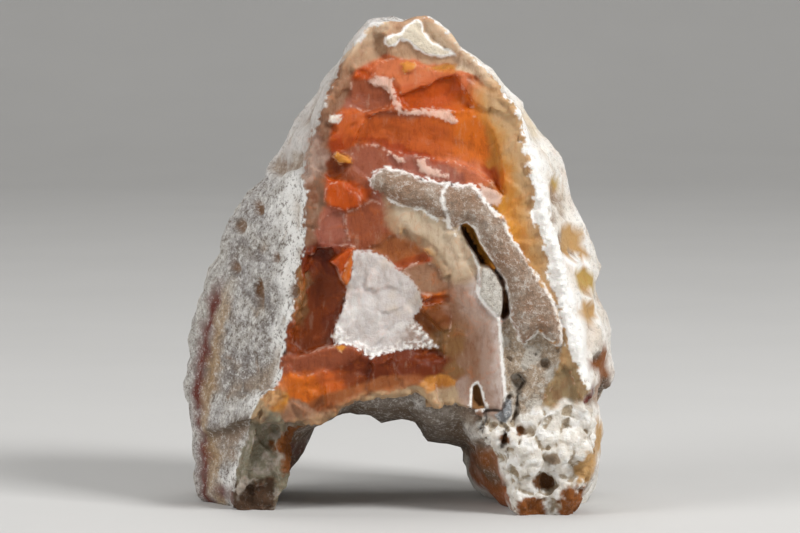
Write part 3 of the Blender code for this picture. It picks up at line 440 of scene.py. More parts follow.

# Soft patches of colour on the face: colour, x, z, half length, half width, angle in degrees. The rose
# patches are partly painted sheen over the orange
PATCHES = [
    # the tan cap and the grey-brown border on the left
    ("pale_tan", -4.4, 60.6, 3.6, 1.2, 42), ("tan", -4.4, 58.2, 3.0, 1.2, 42),
    ("tan", 1.0, 62.4, 2.6, 0.8, 0), ("pale_tan", 4.4, 60.4, 3.4, 0.9, -40),
    ("tan", 1.6, 58.3, 4.6, 0.8, -8), ("pale_tan", 9.2, 57.0, 3.6, 0.9, -42),
    ("umber", -7.4, 54.0, 1.2, 3.4, -20), ("lilac_brown", -9.4, 49.4, 1.0, 2.8, -12),
    ("lilac", -10.9, 44.8, 0.9, 2.6, 0), ("lilac_brown", -10.4, 41.0, 1.0, 2.0, 0),
    # the upper flakes
    ("salmon", 0.4, 56.2, 3.6, 1.2, 0), ("flame", -4.4, 55.9, 1.4, 0.8, 30),
    ("amber", 4.8, 56.3, 1.6, 0.35, 0), ("rose_brown", -4.2, 53.0, 2.2, 1.8, -20),
    ("rose", -5.2, 52.0, 1.2, 0.9, 0), ("flame", 4.4, 53.2, 3.4, 1.3, 6),
    ("orange", 9.0, 51.0, 2.6, 1.8, -30), ("salmon", 10.2, 53.0, 2.4, 0.8, -45),
    ("golden", 13.0, 50.0, 0.8, 0.8, 0), ("deep_orange", -6.4, 49.6, 1.6, 1.6, 0),
    ("burnt_orange", -7.8, 47.4, 1.4, 1.0, 20), ("deep_orange", -1.8, 49.2, 3.4, 2.0, -6),
    ("rose_brown", -1.0, 50.6, 3.0, 0.7, 0), ("deep_orange", 4.0, 47.8, 3.6, 2.0, -12),
    # Painted shade: the thin burnt orange strip on the next line darkens the step at the foot of the big
    # scar
    ("orange", 9.0, 47.0, 3.0, 2.2, -30), ("burnt_orange", 0.0, 46.2, 5.2, 0.35, -16),
    ("salmon", 8.4, 44.4, 2.6, 0.9, -20), ("burnt_orange", 12.0, 43.2, 1.6, 0.7, -40),
    ("burnt", -7.4, 43.8, 1.4, 1.2, 0), ("rose_brown", -4.2, 45.0, 2.2, 1.2, 0),
    ("rose", 2.4, 44.3, 3.4, 0.7, -14), ("rose_brown", -2.4, 42.0, 2.0, 1.0, 0),
    # the band between the septum and the rim
    ("amber", 12.9, 46.0, 1.6, 2.4, 0), ("orange", 13.4, 43.0, 1.6, 1.0, -66),
    ("amber", 14.8, 41.0, 2.2, 0.9, -66), ("golden", 14.6, 37.8, 1.8, 0.8, -60),
    ("pale_honey", 16.6, 41.0, 3.6, 0.7, -70), ("pale_honey", 17.2, 35.4, 2.6, 0.9, -66),
    ("umber", 18.6, 31.4, 2.0, 0.9, -64), ("rose", 18.8, 29.4, 1.2, 0.7, -60),
    # the left middle
    ("flame", -7.2, 40.8, 2.2, 1.4, -25), ("lilac_brown", -11.0, 37.6, 0.9, 2.0, 0),
    ("rose", -8.6, 36.6, 1.6, 1.6, 0), ("rose_brown", -3.6, 37.2, 2.8, 1.8, -10),
    ("rose", -1.2, 39.6, 2.2, 0.9, -10), ("fox", -0.4, 34.4, 2.0, 1.4, -20),
    ("burnt_orange", 2.2, 32.4, 1.8, 0.5, 15), ("fox", 2.0, 34.6, 2.0, 0.9, -20),
    ("milk", 1.8, 38.0, 1.6, 0.8, -30), ("honey_grey", 4.2, 36.8, 2.2, 0.9, -40),
    ("honey_grey", 7.0, 34.2, 2.2, 0.9, -52), ("olive_brown", 5.4, 32.4, 1.6, 0.9, -50),
    ("umber", 3.4, 30.4, 1.6, 1.2, 0), ("orange", 5.4, 27.8, 1.7, 0.45, 8),
    # right of the quartz, to the white edge
    ("brown_amber", 5.2, 25.6, 1.8, 1.8, 0), ("olive_brown", 6.6, 22.4, 1.8, 2.2, 0),
    ("umber", 7.2, 30.4, 0.9, 1.8, 30), ("lilac", 8.9, 31.0, 0.8, 2.0, 30),
    ("pale_lilac", 10.1, 28.6, 0.7, 1.2, 0), ("lilac_brown", 8.0, 27.0, 0.9, 1.8, 0),
    ("lilac", 9.6, 24.4, 1.2, 2.4, 0), ("pale_lilac", 11.9, 23.0, 0.5, 2.4, 0),
    ("lilac_brown", 9.0, 20.0, 1.4, 1.6, 0), ("lilac", 11.2, 19.4, 1.0, 2.2, 0),
    ("pale_lilac", 11.6, 15.6, 1.0, 1.4, 0),
    # the dark scar, the slab and the lip
    ("dark_red", -9.2, 32.4, 1.6, 1.6, -6), ("burnt", -9.8, 27.8, 1.4, 2.6, -6),
    ("ember", -8.4, 24.2, 1.2, 1.6, 0), ("burnt", -11.2, 23.6, 1.4, 2.0, -8),
    # The rose brown patch on the next line is the same painted light on the ledge
    ("olive_brown", -12.3, 27.0, 0.7, 3.4, 6), ("rose_brown", -9.8, 20.0, 3.2, 0.9, 14),
    ("orange", -12.0, 16.8, 2.4, 1.2, 0), ("deep_orange", -9.0, 17.4, 1.8, 1.2, 0),
    ("ember", -4.6, 19.4, 2.2, 1.4, 0), ("ember", 0.6, 19.4, 3.4, 1.2, 0),
    ("ember", 4.8, 19.6, 1.8, 1.2, 20), ("burnt", -6.0, 17.6, 1.8, 0.8, 0),
    ("olive_brown", 7.0, 18.8, 1.4, 1.0, 0), ("fox", -6.4, 15.2, 2.6, 0.8, 8),
    ("honey_grey", -1.6, 15.2, 3.0, 0.6, 6), ("fox", -2.2, 17.0, 2.8, 0.6, 8),
    ("amber", 4.8, 17.0, 1.2, 0.8, 0), ("honey_grey", 6.0, 14.8, 2.0, 1.0, 0),
    ("lilac", 8.4, 16.0, 0.9, 1.6, 0), ("umber", -13.0, 13.2, 1.8, 1.0, -28),
    ("amber", -15.6, 14.6, 1.4, 0.9, -28), ("golden", -15.0, 14.6, 0.8, 0.6, 0),
    # beside the foot
    ("olive_tan", 20.4, 18.2, 1.8, 3.6, 8), ("glass_grey", -17.2, 7.2, 2.6, 5.0, 0),
]

# Bands beside the plate's white edge and under the septum: how far each reaches, and its colour
EDGE_BANDS = [(4.2, "lilac_brown"), (2.6, "lilac"), (0.9, "pale_lilac")]
MILKY_BANDS = [(2.8, "honey_grey"), (1.6, "milk")]

# Bands inside the white rim on the right: how far each reaches from the edge, and its colour
RIM_BANDS = [(5.2, "amber"), (3.8, "honey"), (2.9, "pale_honey")]

# Stains of the unseen back: how strong the pattern is where each starts, its colour and share
STAIN_SIZE = 11.0
STAINS = [(0.05, "ochre", 0.5), (0.45, "rust", 0.45), (0.7, "maroon", 0.4)]

# Colours of the small chips, whose outlines are ragged
CHIP_COLOURS = ("pale_rose", "cream", "golden")

# Hollows and bridges of the right flank, seen from the front: colour, x, z, half length, half
# width, angle in degrees
FLANK_PATCHES = [
    ("honey", 22.2, 34.2, 2.9, 1.1, -58), ("olive_honey", 23.6, 29.2, 1.9, 1.3, -40),
    ("honey", 23.6, 25.4, 1.5, 1.1, 0), ("olive_honey", 19.5, 41.4, 1.2, 0.5, -78),
    ("white", 22.2, 31.5, 1.9, 0.8, -20), ("rust", 25.3, 19.0, 1.5, 0.8, 0),
    ("maroon", 23.9, 15.1, 0.8, 0.8, 0),
]

# Patches of colour on the rind: colour, x, y, z, radius. Those in front of the limit along Y also
# show on the broken faces of the leg and the foot
FRONT_LIMIT = -8.5
RIND_PATCHES = [
    ("honey", 22.4, -8.0, 34.2, 2.4), ("honey", 23.8, -7.0, 29.2, 2.0), ("honey", 23.6, -9.0, 25.4, 1.6),
    ("rust", 25.4, -4.0, 19.0, 1.8), ("maroon", 24.0, -10.0, 15.1, 1.0), ("rust", 25.2, -1.0, 15.4, 2.4),
    ("honey", 24.4, -11.0, 6.0, 2.2), ("rust", 22.0, -11.0, 1.0, 2.4), ("rust", 16.8, -12.0, 0.9, 1.9),
    ("honey", 24.6, -6.0, 9.0, 2.6), ("brown", 18.0, -12.0, 4.1, 1.3), ("brown", 13.2, -12.0, 9.9, 0.7),
    ("sand", 19.2, -12.0, 7.3, 0.9), ("brown", 15.2, -12.0, 10.8, 0.6), ("ivory", 19.0, -2.0, 50.0, 3.4),
    ("fox", 12.4, -4.0, 3.4, 5.0), ("rust", 10.6, -6.0, 5.4, 3.6), ("rust", -13.2, -9.0, 8.0, 3.0),
    ("maroon", -13.0, -3.0, 5.0, 3.6), ("bark", -18.6, -9.0, 1.2, 3.2), ("maroon", -23.8, -8.0, 1.2, 2.6),
    ("honey", 19.5, -8.0, 41.4, 1.1),
]


def spaced(points, count):
    """The given number of points at even steps along a line of points, without its last one."""
    line = np.array(points, float)
    run = np.concatenate([[0], np.cumsum(np.linalg.norm(np.diff(line, axis=0), axis=1))])
    at = np.linspace(0, run[-1], count, endpoint=False)
    return np.column_stack([np.interp(at, run, line[:, 0]), np.interp(at, run, line[:, 1])])


def outline_points(outline):
    """One closed outline, with the same number of corners on each stretch of every outline."""
    names = list(CORNERS)
    stretches = []
    for name, following in zip(names, names[1:] + names[:1]):
        stretches.append(spaced(outline[name] + outline[following][:1], CORNERS[name]))
    return np.vstack(stretches)


def step(low, high, value):
    """Smooth rise from 0 at low to 1 at high."""
    t = np.clip((value - low) / (high - low), 0, 1)
    return t * t * (3 - 2 * t)


def depth_at(depth, z):
    """The stone gets thinner towards its top and its feet."""
    return depth * (1 - TAPER_AT_TOP * ((z - MID_HEIGHT) / HALF_HEIGHT) ** 2)


def front_depth(x, z):
    """The smooth broken face, which the left leg stands behind."""
    return depth_at(FACE_DEPTH, z) + LEG_SETBACK * leg_share(x, z)


def ring_places():
    """The corners of the four outlines in space, from the face to the back."""
    rim = outline_points(RIM)
    rings = [np.column_stack([rim[:, 0], front_depth(rim[:, 0], rim[:, 1]), rim[:, 1]])]
    for outline, depth in ((WAIST, WAIST_DEPTH), (WAIST, WALL_DEPTH), (BACK, BACK_DEPTH)):
        points = outline_points(outline)
        y = depth_at(depth, points[:, 1])
        lower = BACKWARD_DROP * (depth - FACE_DEPTH)
        rings.append(np.column_stack([points[:, 0] * SIDE_SPREAD, y, points[:, 1] - lower]))
    return rings


def lofted_body():
    """The rough form: four outlines joined by walls, with a flat cap at each end."""
    shape = bmesh.new()
    rings = [[shape.verts.new(place * MM) for place in ring] for ring in ring_places()]
    for front, behind in zip(rings, rings[1:]):
        for i in range(len(front)):
            j = (i + 1) % len(front)
            shape.faces.new((front[i], front[j], behind[j], behind[i]))
    shape.faces.new(rings[0])
    shape.faces.new(rings[-1])
    bmesh.ops.recalc_face_normals(shape, faces=shape.faces)
    mesh = bpy.data.meshes.new("rough_form")
    shape.to_mesh(mesh)
    shape.free()
    return mesh


def modified(mesh, kind, keep=None, **settings):
    """The mesh after one modifier, which leaves the points marked in keep as they are."""
    helper = bpy.data.objects.new("helper", mesh)
    bpy.context.scene.collection.objects.link(helper)
    modifier = helper.modifiers.new(kind, kind)
    if keep is not None:
        helper.vertex_groups.new(name="worked").add(np.nonzero(~keep)[0].tolist(), 1.0, "REPLACE")
        settings["vertex_group"] = "worked"
    for name, value in settings.items():
        setattr(modifier, name, value)
    graph = bpy.context.evaluated_depsgraph_get()
    made = bpy.data.meshes.new_from_object(helper.evaluated_get(graph))
    bpy.data.objects.remove(helper)
    return made


def along_line(x, z, line):
    """Distance to an open line."""
    nearest = np.full(x.shape, np.inf)
    for (ax, az), (bx, bz) in zip(line, line[1:]):
        ex, ez = bx - ax, bz - az
        along = np.clip(((x - ax) * ex + (z - az) * ez) / (ex * ex + ez * ez), 0, 1)
        nearest = np.minimum(nearest, np.hypot(x - ax - along * ex, z - az - along * ez))
    return nearest


def inside(x, z, outline):
    """Distance to a closed outline, positive inside it and negative outside."""
    closed = outline + outline[:1]
    nearest = along_line(x, z, closed)
    within = np.zeros(x.shape, bool)
    for (ax, az), (bx, bz) in zip(closed, closed[1:]):
        if bz != az:
            within ^= ((az > z) != (bz > z)) & (x < ax + (z - az) / (bz - az) * (bx - ax))
    return np.where(within, nearest, -nearest)


def dome(x, z, cx, cz, half_length, half_width, angle=0.0):
    """1 at the middle of a turned ellipse, 0 at its edge and below 0 outside it."""
    turn = math.radians(angle)
    along = (x - cx) * math.cos(turn) + (z - cz) * math.sin(turn)
    across = (z - cz) * math.cos(turn) - (x - cx) * math.sin(turn)
    return 1 - (along / half_length) ** 2 - (across / half_width) ** 2


def rough(points, size, seed=0.0, octaves=3):
    """Fractal noise from about -1 to 1, with lumps of this size."""
    return np.array([
        noise.fractal(Vector((p[0] / size + seed, p[1] / size, p[2] / size - seed)), 0.9, 2.1, octaves)
        for p in points
    ])


def lumps(points, size):
    """Rounded lumps of about this size, 1 at their tops and 0 in the grooves between them."""
    distance = np.array([noise.voronoi(Vector(p / size))[0][0] for p in points])
    return 1 - np.clip(distance / 0.75, 0, 1) ** 2


def flat_flakes(x, z, size, slope, number):
    """Flat tilted faces that meet at ridges, one for each cell of a jittered grid."""
    table = np.random.default_rng(number).uniform(-0.5, 0.5, (64, 64, 4))
    column, row = np.floor(x / size).astype(int), np.floor(z / size).astype(int)
    nearest = np.full(x.shape, np.inf)
    height = np.zeros(x.shape)
    for right in (-1, 0, 1):
        for up in (-1, 0, 1):
            jitter = table[(column + right) % 64, (row + up) % 64]
            away_x = x - (column + right + 0.5 + jitter[:, 0]) * size
            away_z = z - (row + up + 0.5 + jitter[:, 1]) * size
            gap = np.hypot(away_x, away_z)
            plane = slope * (2 * jitter[:, 2] * away_x + 2 * jitter[:, 3] * away_z)
            height = np.where(gap < nearest, plane, height)
            nearest = np.minimum(nearest, gap)
    return height


def face_relief(x, z):
    """How far each point of the broken face lies behind its smooth form."""
    small = flat_flakes(x, z, *SMALL_FLAKES)
    relief = FLAKE_DEPTH + flat_flakes(x, z, *BROAD_FLAKES) + small
    relief *= step(0.0, 1.5, rim_distance(x, z))
    relief -= 0.9 * step(-0.5, 0.6, inside(x, z, LOWER_BAND))
    for _, _, depth, (slope_x, slope_z, hollow), outline in FACETS:
        middle_x, middle_z = np.mean(outline, axis=0)
        within = inside(x, z, outline)
        plane = depth + slope_x * (x - middle_x) + slope_z * (z - middle_z)
        plane += hollow * step(0.0, 3.0, within)
        relief += (plane + 0.25 * small - relief) * step(-0.12, 0.12, within)
    relief += (QUARTZ_DEPTH + flat_flakes(x, z, *CRYSTALS) - relief) * step(-0.1, 0.2, inside(x, z, QUARTZ))
    relief -= 0.6 * step(-0.2, 0.3, inside(x, z, TOP_CHALK))
    relief += (FLOOR_DEPTH - relief) * step(-0.5, 0.6, inside(x, z, FLOOR))
    septum = inside(x, z, SEPTUM)
    relief += (0.2 - SEPTUM_HEIGHT * step(-0.2, 1.6, septum) - relief) * step(-0.15, 0.2, septum)
    relief += (-0.3 - relief) * step(-0.15, 0.25, inside(x, z, PLATE))
    relief += CREVICE_DEPTH * step(-0.1, 0.5, inside(x, z, CREVICE))
    relief += NOTCH_DEPTH * step(-0.1, 0.4, inside(x, z, NOTCH))
    for cx, cz, radius, height in FOOT_LUMPS:
        relief -= height * np.clip(dome(x, z, cx, cz, radius, radius), 0, 1)
    for line in CRACKS:
        relief += CRACK_DEPTH * step(0.35, 0.1, along_line(x, z, line))
    return relief


def rim_distance(x, z):
    return inside(x, z, [tuple(p) for p in outline_points(RIM)])


def shape_front(points, normals):
    """The broken face, with its scars, septum, crevice and crystals; how much each point is of it."""
    x, y, z = points.T
    facing = step(0.2, 0.6, -normals[:, 1]) * step(0.0, 0.9, rim_distance(x, z))
    points[:, 1] += facing * (front_depth(x, z) + face_relief(x, z) - y)
    return facing


def shape_back(points, normals):
    """The rounded back."""
    x, y, z = points.T
    drop = BACKWARD_DROP * (BACK_DEPTH - FACE_DEPTH)
    edge = inside(x, z + drop, [tuple(p) for p in outline_points(BACK)])
    facing = step(0.2, 0.6, normals[:, 1]) * step(0.0, 1.5, edge)
    target = depth_at(BACK_DEPTH, z) + BACK_DOME * (1 - np.exp(-np.maximum(edge, 0) / 5.0))
    points[:, 1] += facing * (target - y)


def shape_skin(points, normals, facing):
    """The crust of the left flank, the hollows, the undercut of the lip, and the lumpy skin."""
    x, y, z = points.T
    skin = 1 - facing
    left_flank = step(10.0, 12.0, -x) * step(0.1, 0.4, -normals[:, 1]) * skin
    above_crust = step(0.0, 0.9, z - CRUST_TOP - 0.6 * np.sin(1.3 * x))
    grow = -CRUST_THICKNESS * left_flank * above_crust
    for cx, cz, half_width, half_height, depth in CRUST_PITS:
        grow -= depth * left_flank * np.sqrt(np.clip(dome(x, z, cx, cz, half_width, half_height), 0, 1))
    for *place, radius, depth in FLANK_HOLLOWS:
        distance = np.linalg.norm((points - place) * (1, 0.6, 1), axis=1)
        grow -= depth * skin * np.clip(1 - (distance / radius) ** 2, 0, 1)
    ceiling = step(0.2, 0.7, -normals[:, 2]) * step(1.5, 3.0, z)
    grow -= UNDERCUT_DEPTH * ceiling * np.exp(-((y - FACE_DEPTH - 3.5) / UNDERCUT_WIDTH) ** 2)
    smooth = 1 - 0.75 * left_flank
    grow += skin * smooth * LUMP_HEIGHT * (lumps(points, LUMP_SIZE) - 0.5)
    grow += skin * smooth * ROUGH_HEIGHT * rough(points, ROUGH_SIZE)
    points += normals * grow[:, None]


def coordinates(mesh, what):
    values = np.empty(len(mesh.vertices) * 3, np.float32)
    mesh.vertices.foreach_get(what, values)
    return values.reshape(-1, 3).astype(float)


def put_back(mesh, points):
    mesh.vertices.foreach_set("co", (points * MM).astype(np.float32).ravel())
    mesh.update()


def on_face(mesh):
    """Which points belong to the broken face."""
    x, y, z = (coordinates(mesh, "co") / MM).T
    return (rim_distance(x, z) > -RIM_MARGIN) & (y < front_depth(x, z) + FACE_REACH)


def thinned(mesh):
    """Fewer triangles, with the smaller ones kept for the broken face."""
    mesh = modified(mesh, "TRIANGULATE")
    for kept_part, share in ((True, RIND_TRIANGLES), (False, FACE_TRIANGLES)):
        face = on_face(mesh)
        corners = np.empty(len(mesh.loops), np.int32)
        mesh.loops.foreach_get("vertex_index", corners)
        face_triangles = int(face[corners.reshape(-1, 3)].all(axis=1).sum())
        others = len(mesh.polygons) - face_triangles
        target = share + (face_triangles if kept_part else others)
        keep = face if kept_part else ~face
        mesh = modified(mesh, "DECIMATE", keep=keep, ratio=target / len(mesh.polygons))
    return mesh


def cut_soles(mesh):
    """The two small flat spots that the stone stands on, cut level at the resting plane."""
    shape = bmesh.new()
    shape.from_mesh(mesh)
    everything = shape.verts[:] + shape.edges[:] + shape.faces[:]
    cut = bmesh.ops.bisect_plane(
        shape, geom=everything, dist=SNAP * MM, plane_co=(0, 0, 0), plane_no=(0, 0, -1), clear_outer=True)
    edges = [part for part in cut["geom_cut"] if isinstance(part, bmesh.types.BMEdge)]
    for corner in {corner for edge in edges for corner in edge.verts}:
        corner.co.z = 0.0
    soles = bmesh.ops.holes_fill(shape, edges=edges)
    bmesh.ops.triangulate(shape, faces=soles["faces"])
    shape.to_mesh(mesh)
    shape.free()


def foot_share(x, z):
    """How much a point of the face belongs to the knobbly right foot, whose top edge is wavy."""
    top = FOOT_TOP + 0.2 * (x - 16.0) + 0.4 * np.sin(1.9 * x)
    return step(top + 0.6, top - 0.6, z) * step(FOOT_SIDE - 0.6, FOOT_SIDE + 0.6, x)


def leg_share(x, z):
    """How much a point of the face belongs to the glassy left leg."""
    return step(LIP_HEIGHT + 0.5, LIP_HEIGHT - 0.7, z) * step(LIP_END + 0.5, LIP_END - 0.5, x)


def grain(points, normals, face):
    """The fine relief: granular crust, knobbly chalk, and faint ripples on the glassy flakes."""
    x, y, z = points.T
    skin = 1 - face
    foot = foot_share(x, z) * face
    leg = leg_share(x, z) * face
    septum = step(-0.1, 0.3, inside(x, z, SEPTUM)) * face
    floor_share = step(-0.1, 0.3, inside(x, z, FLOOR)) * face
    rim = np.where(face > 0, rim_distance(x, z), -2.0)
    edge = step(1.6, 0.6, rim) * face
    edge *= step(58.0, 54.0, z)
    dry = np.clip(skin + foot + septum + edge + floor_share, 0, 1)
    fine = rough(points, 0.8, seed=3.0, octaves=3)
    middle = rough(points, 2.2, seed=7.0, octaves=3)
    grow = 0.11 * dry * fine + 0.10 * np.clip(skin + edge, 0, 1) * middle
    grow += (0.9 * foot + 0.6 * leg) * (lumps(points, 3.2) - 0.5) + 0.3 * (foot + leg) * middle
    pits = step(0.42, 0.7, rough(points, 1.7, seed=13.0, octaves=2))
    grow -= (0.15 * skin + 0.2 * foot + 0.45 * floor_share) * pits
    grow += 0.3 * edge * step(-0.1, 0.5, rough(points, 1.1, seed=17.0, octaves=2))
    grow += 0.03 * face * (1 - dry) * middle
    points += normals * grow[:, None]


def centred(mesh):
    """Puts the origin under the middle of the stone, where the solid has it."""
    points = coordinates(mesh, "co")
    middle = (points.min(axis=0) + points.max(axis=0)) / 2
    mesh.transform(Matrix.Translation((-middle[0], -middle[1], 0)))


def stone_mesh():
    mesh = modified(lofted_body(), "REMESH", mode="VOXEL", voxel_size=ROUGH_FACE * MM)
    points, normals = coordinates(mesh, "co") / MM, coordinates(mesh, "normal")
    facing = shape_front(points, normals)
    shape_back(points, normals)
    shape_skin(points, normals, facing)
    put_back(mesh, points)
    mesh = modified(mesh, "REMESH", mode="VOXEL", voxel_size=FINE_FACE * MM)
    points, normals = coordinates(mesh, "co") / MM, coordinates(mesh, "normal")
    facing = on_face(mesh).astype(float)
    grain(points, normals, facing)
    put_back(mesh, points)
    mesh = thinned(mesh)
    cut_soles(mesh)
    return mesh


def store(mesh, name, values):
    mesh.attributes.new(name, "FLOAT", "POINT").data.foreach_set("value", values.astype(np.float32))


def store_colour(mesh, name, colours):
    rgba = np.column_stack([colours, np.ones(len(colours))]).astype(np.float32)
    mesh.attributes.new(name, "FLOAT_COLOR", "POINT").data.foreach_set("color", rgba.ravel())


def hollowness(mesh, points, normals):
    """How deep each point lies below its smoothed surroundings, in millimetres."""
    ends = np.empty(len(mesh.edges) * 2, np.int32)
    mesh.edges.foreach_get("vertices", ends)
    one, other = ends.reshape(-1, 2).T
    start, end = np.concatenate([one, other]), np.concatenate([other, one])
    neighbours = np.bincount(start, minlength=len(points))[:, None]
    smooth = points
    for _ in range(HOLLOW_ROUNDS):
        sums = [np.bincount(start, weights=smooth[end, axis], minlength=len(points)) for axis in range(3)]
        smooth = np.column_stack(sums) / neighbours
    return np.sum((smooth - points) * normals, axis=1)


class Paint:
    """Layers of colour on points, with how waxy and how speckled with dark grains each point is."""

    def __init__(self, count, colour):
        self.colour = np.tile(np.array(COLOURS[colour]), (count, 1))
        self.wax = np.zeros(count)
        self.specks = np.ones(count)

    def lay(self, share, colour, wax, specks=0.0):
        """Covers the points by their share, with a named colour or with a colour for each point."""
        tint = np.array(COLOURS[colour]) if isinstance(colour, str) else colour
        self.colour += (tint - self.colour) * share[:, None]
        self.wax += (wax - self.wax) * share
        self.specks += (specks - self.specks) * share


def blended(x, z, patches):
    """The soft mixture of the patches of colour at each point."""
    total = np.full(x.shape, 1e-6)
    tint = np.zeros((len(x), 3))
    for colour, *ellipse in patches:
        weight = np.exp(2.6 * (dome(x, z, *ellipse) - 1)) + 1e-9
        total += weight
        tint += weight[:, None] * np.array(COLOURS[colour])
    return tint / total[:, None]


def paint_rind(points, normals, ripple, grit, hollow):
    """Grey crust on the left, cream lumps on the right, thin dark layers, painted shade in the hollows with
    painted highlight on the ridges, and painted shade on the downward faces under the arch.
    """
    x, y, z = points.T
    beyond = -rim_distance(x, z)
    front = step(0.0, 0.35, -normals[:, 1])
    layers = Paint(len(points), "crust")
    layers.lay(0.5 * step(-0.2, 0.6, grit + ripple), "chalk", 0.0, 1.0)
    layers.lay(0.5 * step(7.0, 12.0, beyond + 2 * ripple) * front, "ochre_grey", 0.1, 0.5)
    above = step(-0.4, 0.4, z - CRUST_TOP - 0.6 * np.sin(1.3 * x)) * step(0.0, -4.0, x) * step(6.0, -2.0, y)
    layers.lay(above, "flank_grey", 0.3, 0.15)
    reach = 2.4 + 2.4 * step(26.0, 36.0, z)
    bright = step(reach, reach - 1.6, beyond + 1.8 * ripple + 1.2 * grit) * front * (1 - above)
    layers.lay(0.85 * bright, "white", 0.0, 0.8)
    right = step(2.0, 9.0, x)
    layers.lay(right, "cream", 0.3, 0.3)
    layers.lay(0.6 * right * step(0.0, 0.4, ripple), "white", 0.2, 0.2)
    layers.lay(0.5 * right * step(0.1, 0.7, -ripple - 0.4 * grit), "pale_honey", 0.4, 0.2)
    hills = step(0.1, 0.6, ripple - 0.5 * grit) * step(-0.2, 0.1, hollow)
    layers.lay(0.6 * right * hills, "ivory", 0.3, 0.1)
    behind = step(-4.0, 6.0, y) * right
    layers.lay(0.6 * behind * step(-0.3, 0.5, grit - ripple), "flank_grey", 0.1, 0.6)
    back = step(2.0, 8.0, y)
    layers.lay(0.5 * back, "ivory", 0.1, 0.4)
    stain = rough(points, STAIN_SIZE, seed=51.0, octaves=4)
    for start, colour, share in STAINS:
        layers.lay(share * back * step(start, start + 0.35, stain + 0.25 * grit), colour, 0.3, 0.3)
    # Painted shade and painted highlight: sand and brown darken the hollows, white lightens the ridges
    layers.lay(0.6 * step(0.05, 0.2, hollow), "sand", 0.1, 0.5)
    layers.lay(0.5 * step(0.16, 0.4, hollow), "brown", 0.1, 0.5)
    layers.lay(0.25 * step(-0.06, -0.2, hollow), "white", 0.0, 0.6)
    low = step(LAYER_TOP + 2, LAYER_TOP - 2, z) * step(-14.0, -18.0, x)
    depth = y + 0.4 * ripple + 0.04 * (z - 16)
    for (start, end), colour, share in ((OCHRE_LAYER, "ochre", 0.7), (MAROON_LAYER, "maroon", 1.0)):
        layer = step(start - 0.3, start + 0.3, depth) * step(end + 0.3, end - 0.3, depth)
        layers.lay(share * low * layer, colour, 0.3, 0.4)
    for colour, px, py, pz, radius in RIND_PATCHES:
        distance = np.sqrt((x - px) ** 2 + 0.3 * (y - py) ** 2 + (z - pz) ** 2) / radius + 0.4 * ripple
        layers.lay(step(1.15, 0.7, distance), colour, 0.5, 0.2)
    for colour, *ellipse in FLANK_PATCHES:
        near = step(0.0, 0.2, dome(x, z, *ellipse) + 0.3 * ripple + 0.3 * grit)
        layers.lay(near * step(0.0, -2.0, y), colour, 0.6)
    for cx, cz, half_width, half_height, _ in CRUST_PITS:
        pit = step(-0.2, 0.3, dome(x, z, cx, cz, half_width, half_height)) * step(2.0, -4.0, y)
        layers.lay(0.85 * pit, "brown", 0.0, 0.5)
    # Painted shade: the surfaces facing down under the arch and the lip are darkened
    arch_shade = step(0.25, 0.6, -normals[:, 2]) * step(24.0, 18.0, z) * step(2.5, 4.5, z)
    layers.lay(0.85 * arch_shade, "arch_shade", 0.1, 0.6)
    return layers


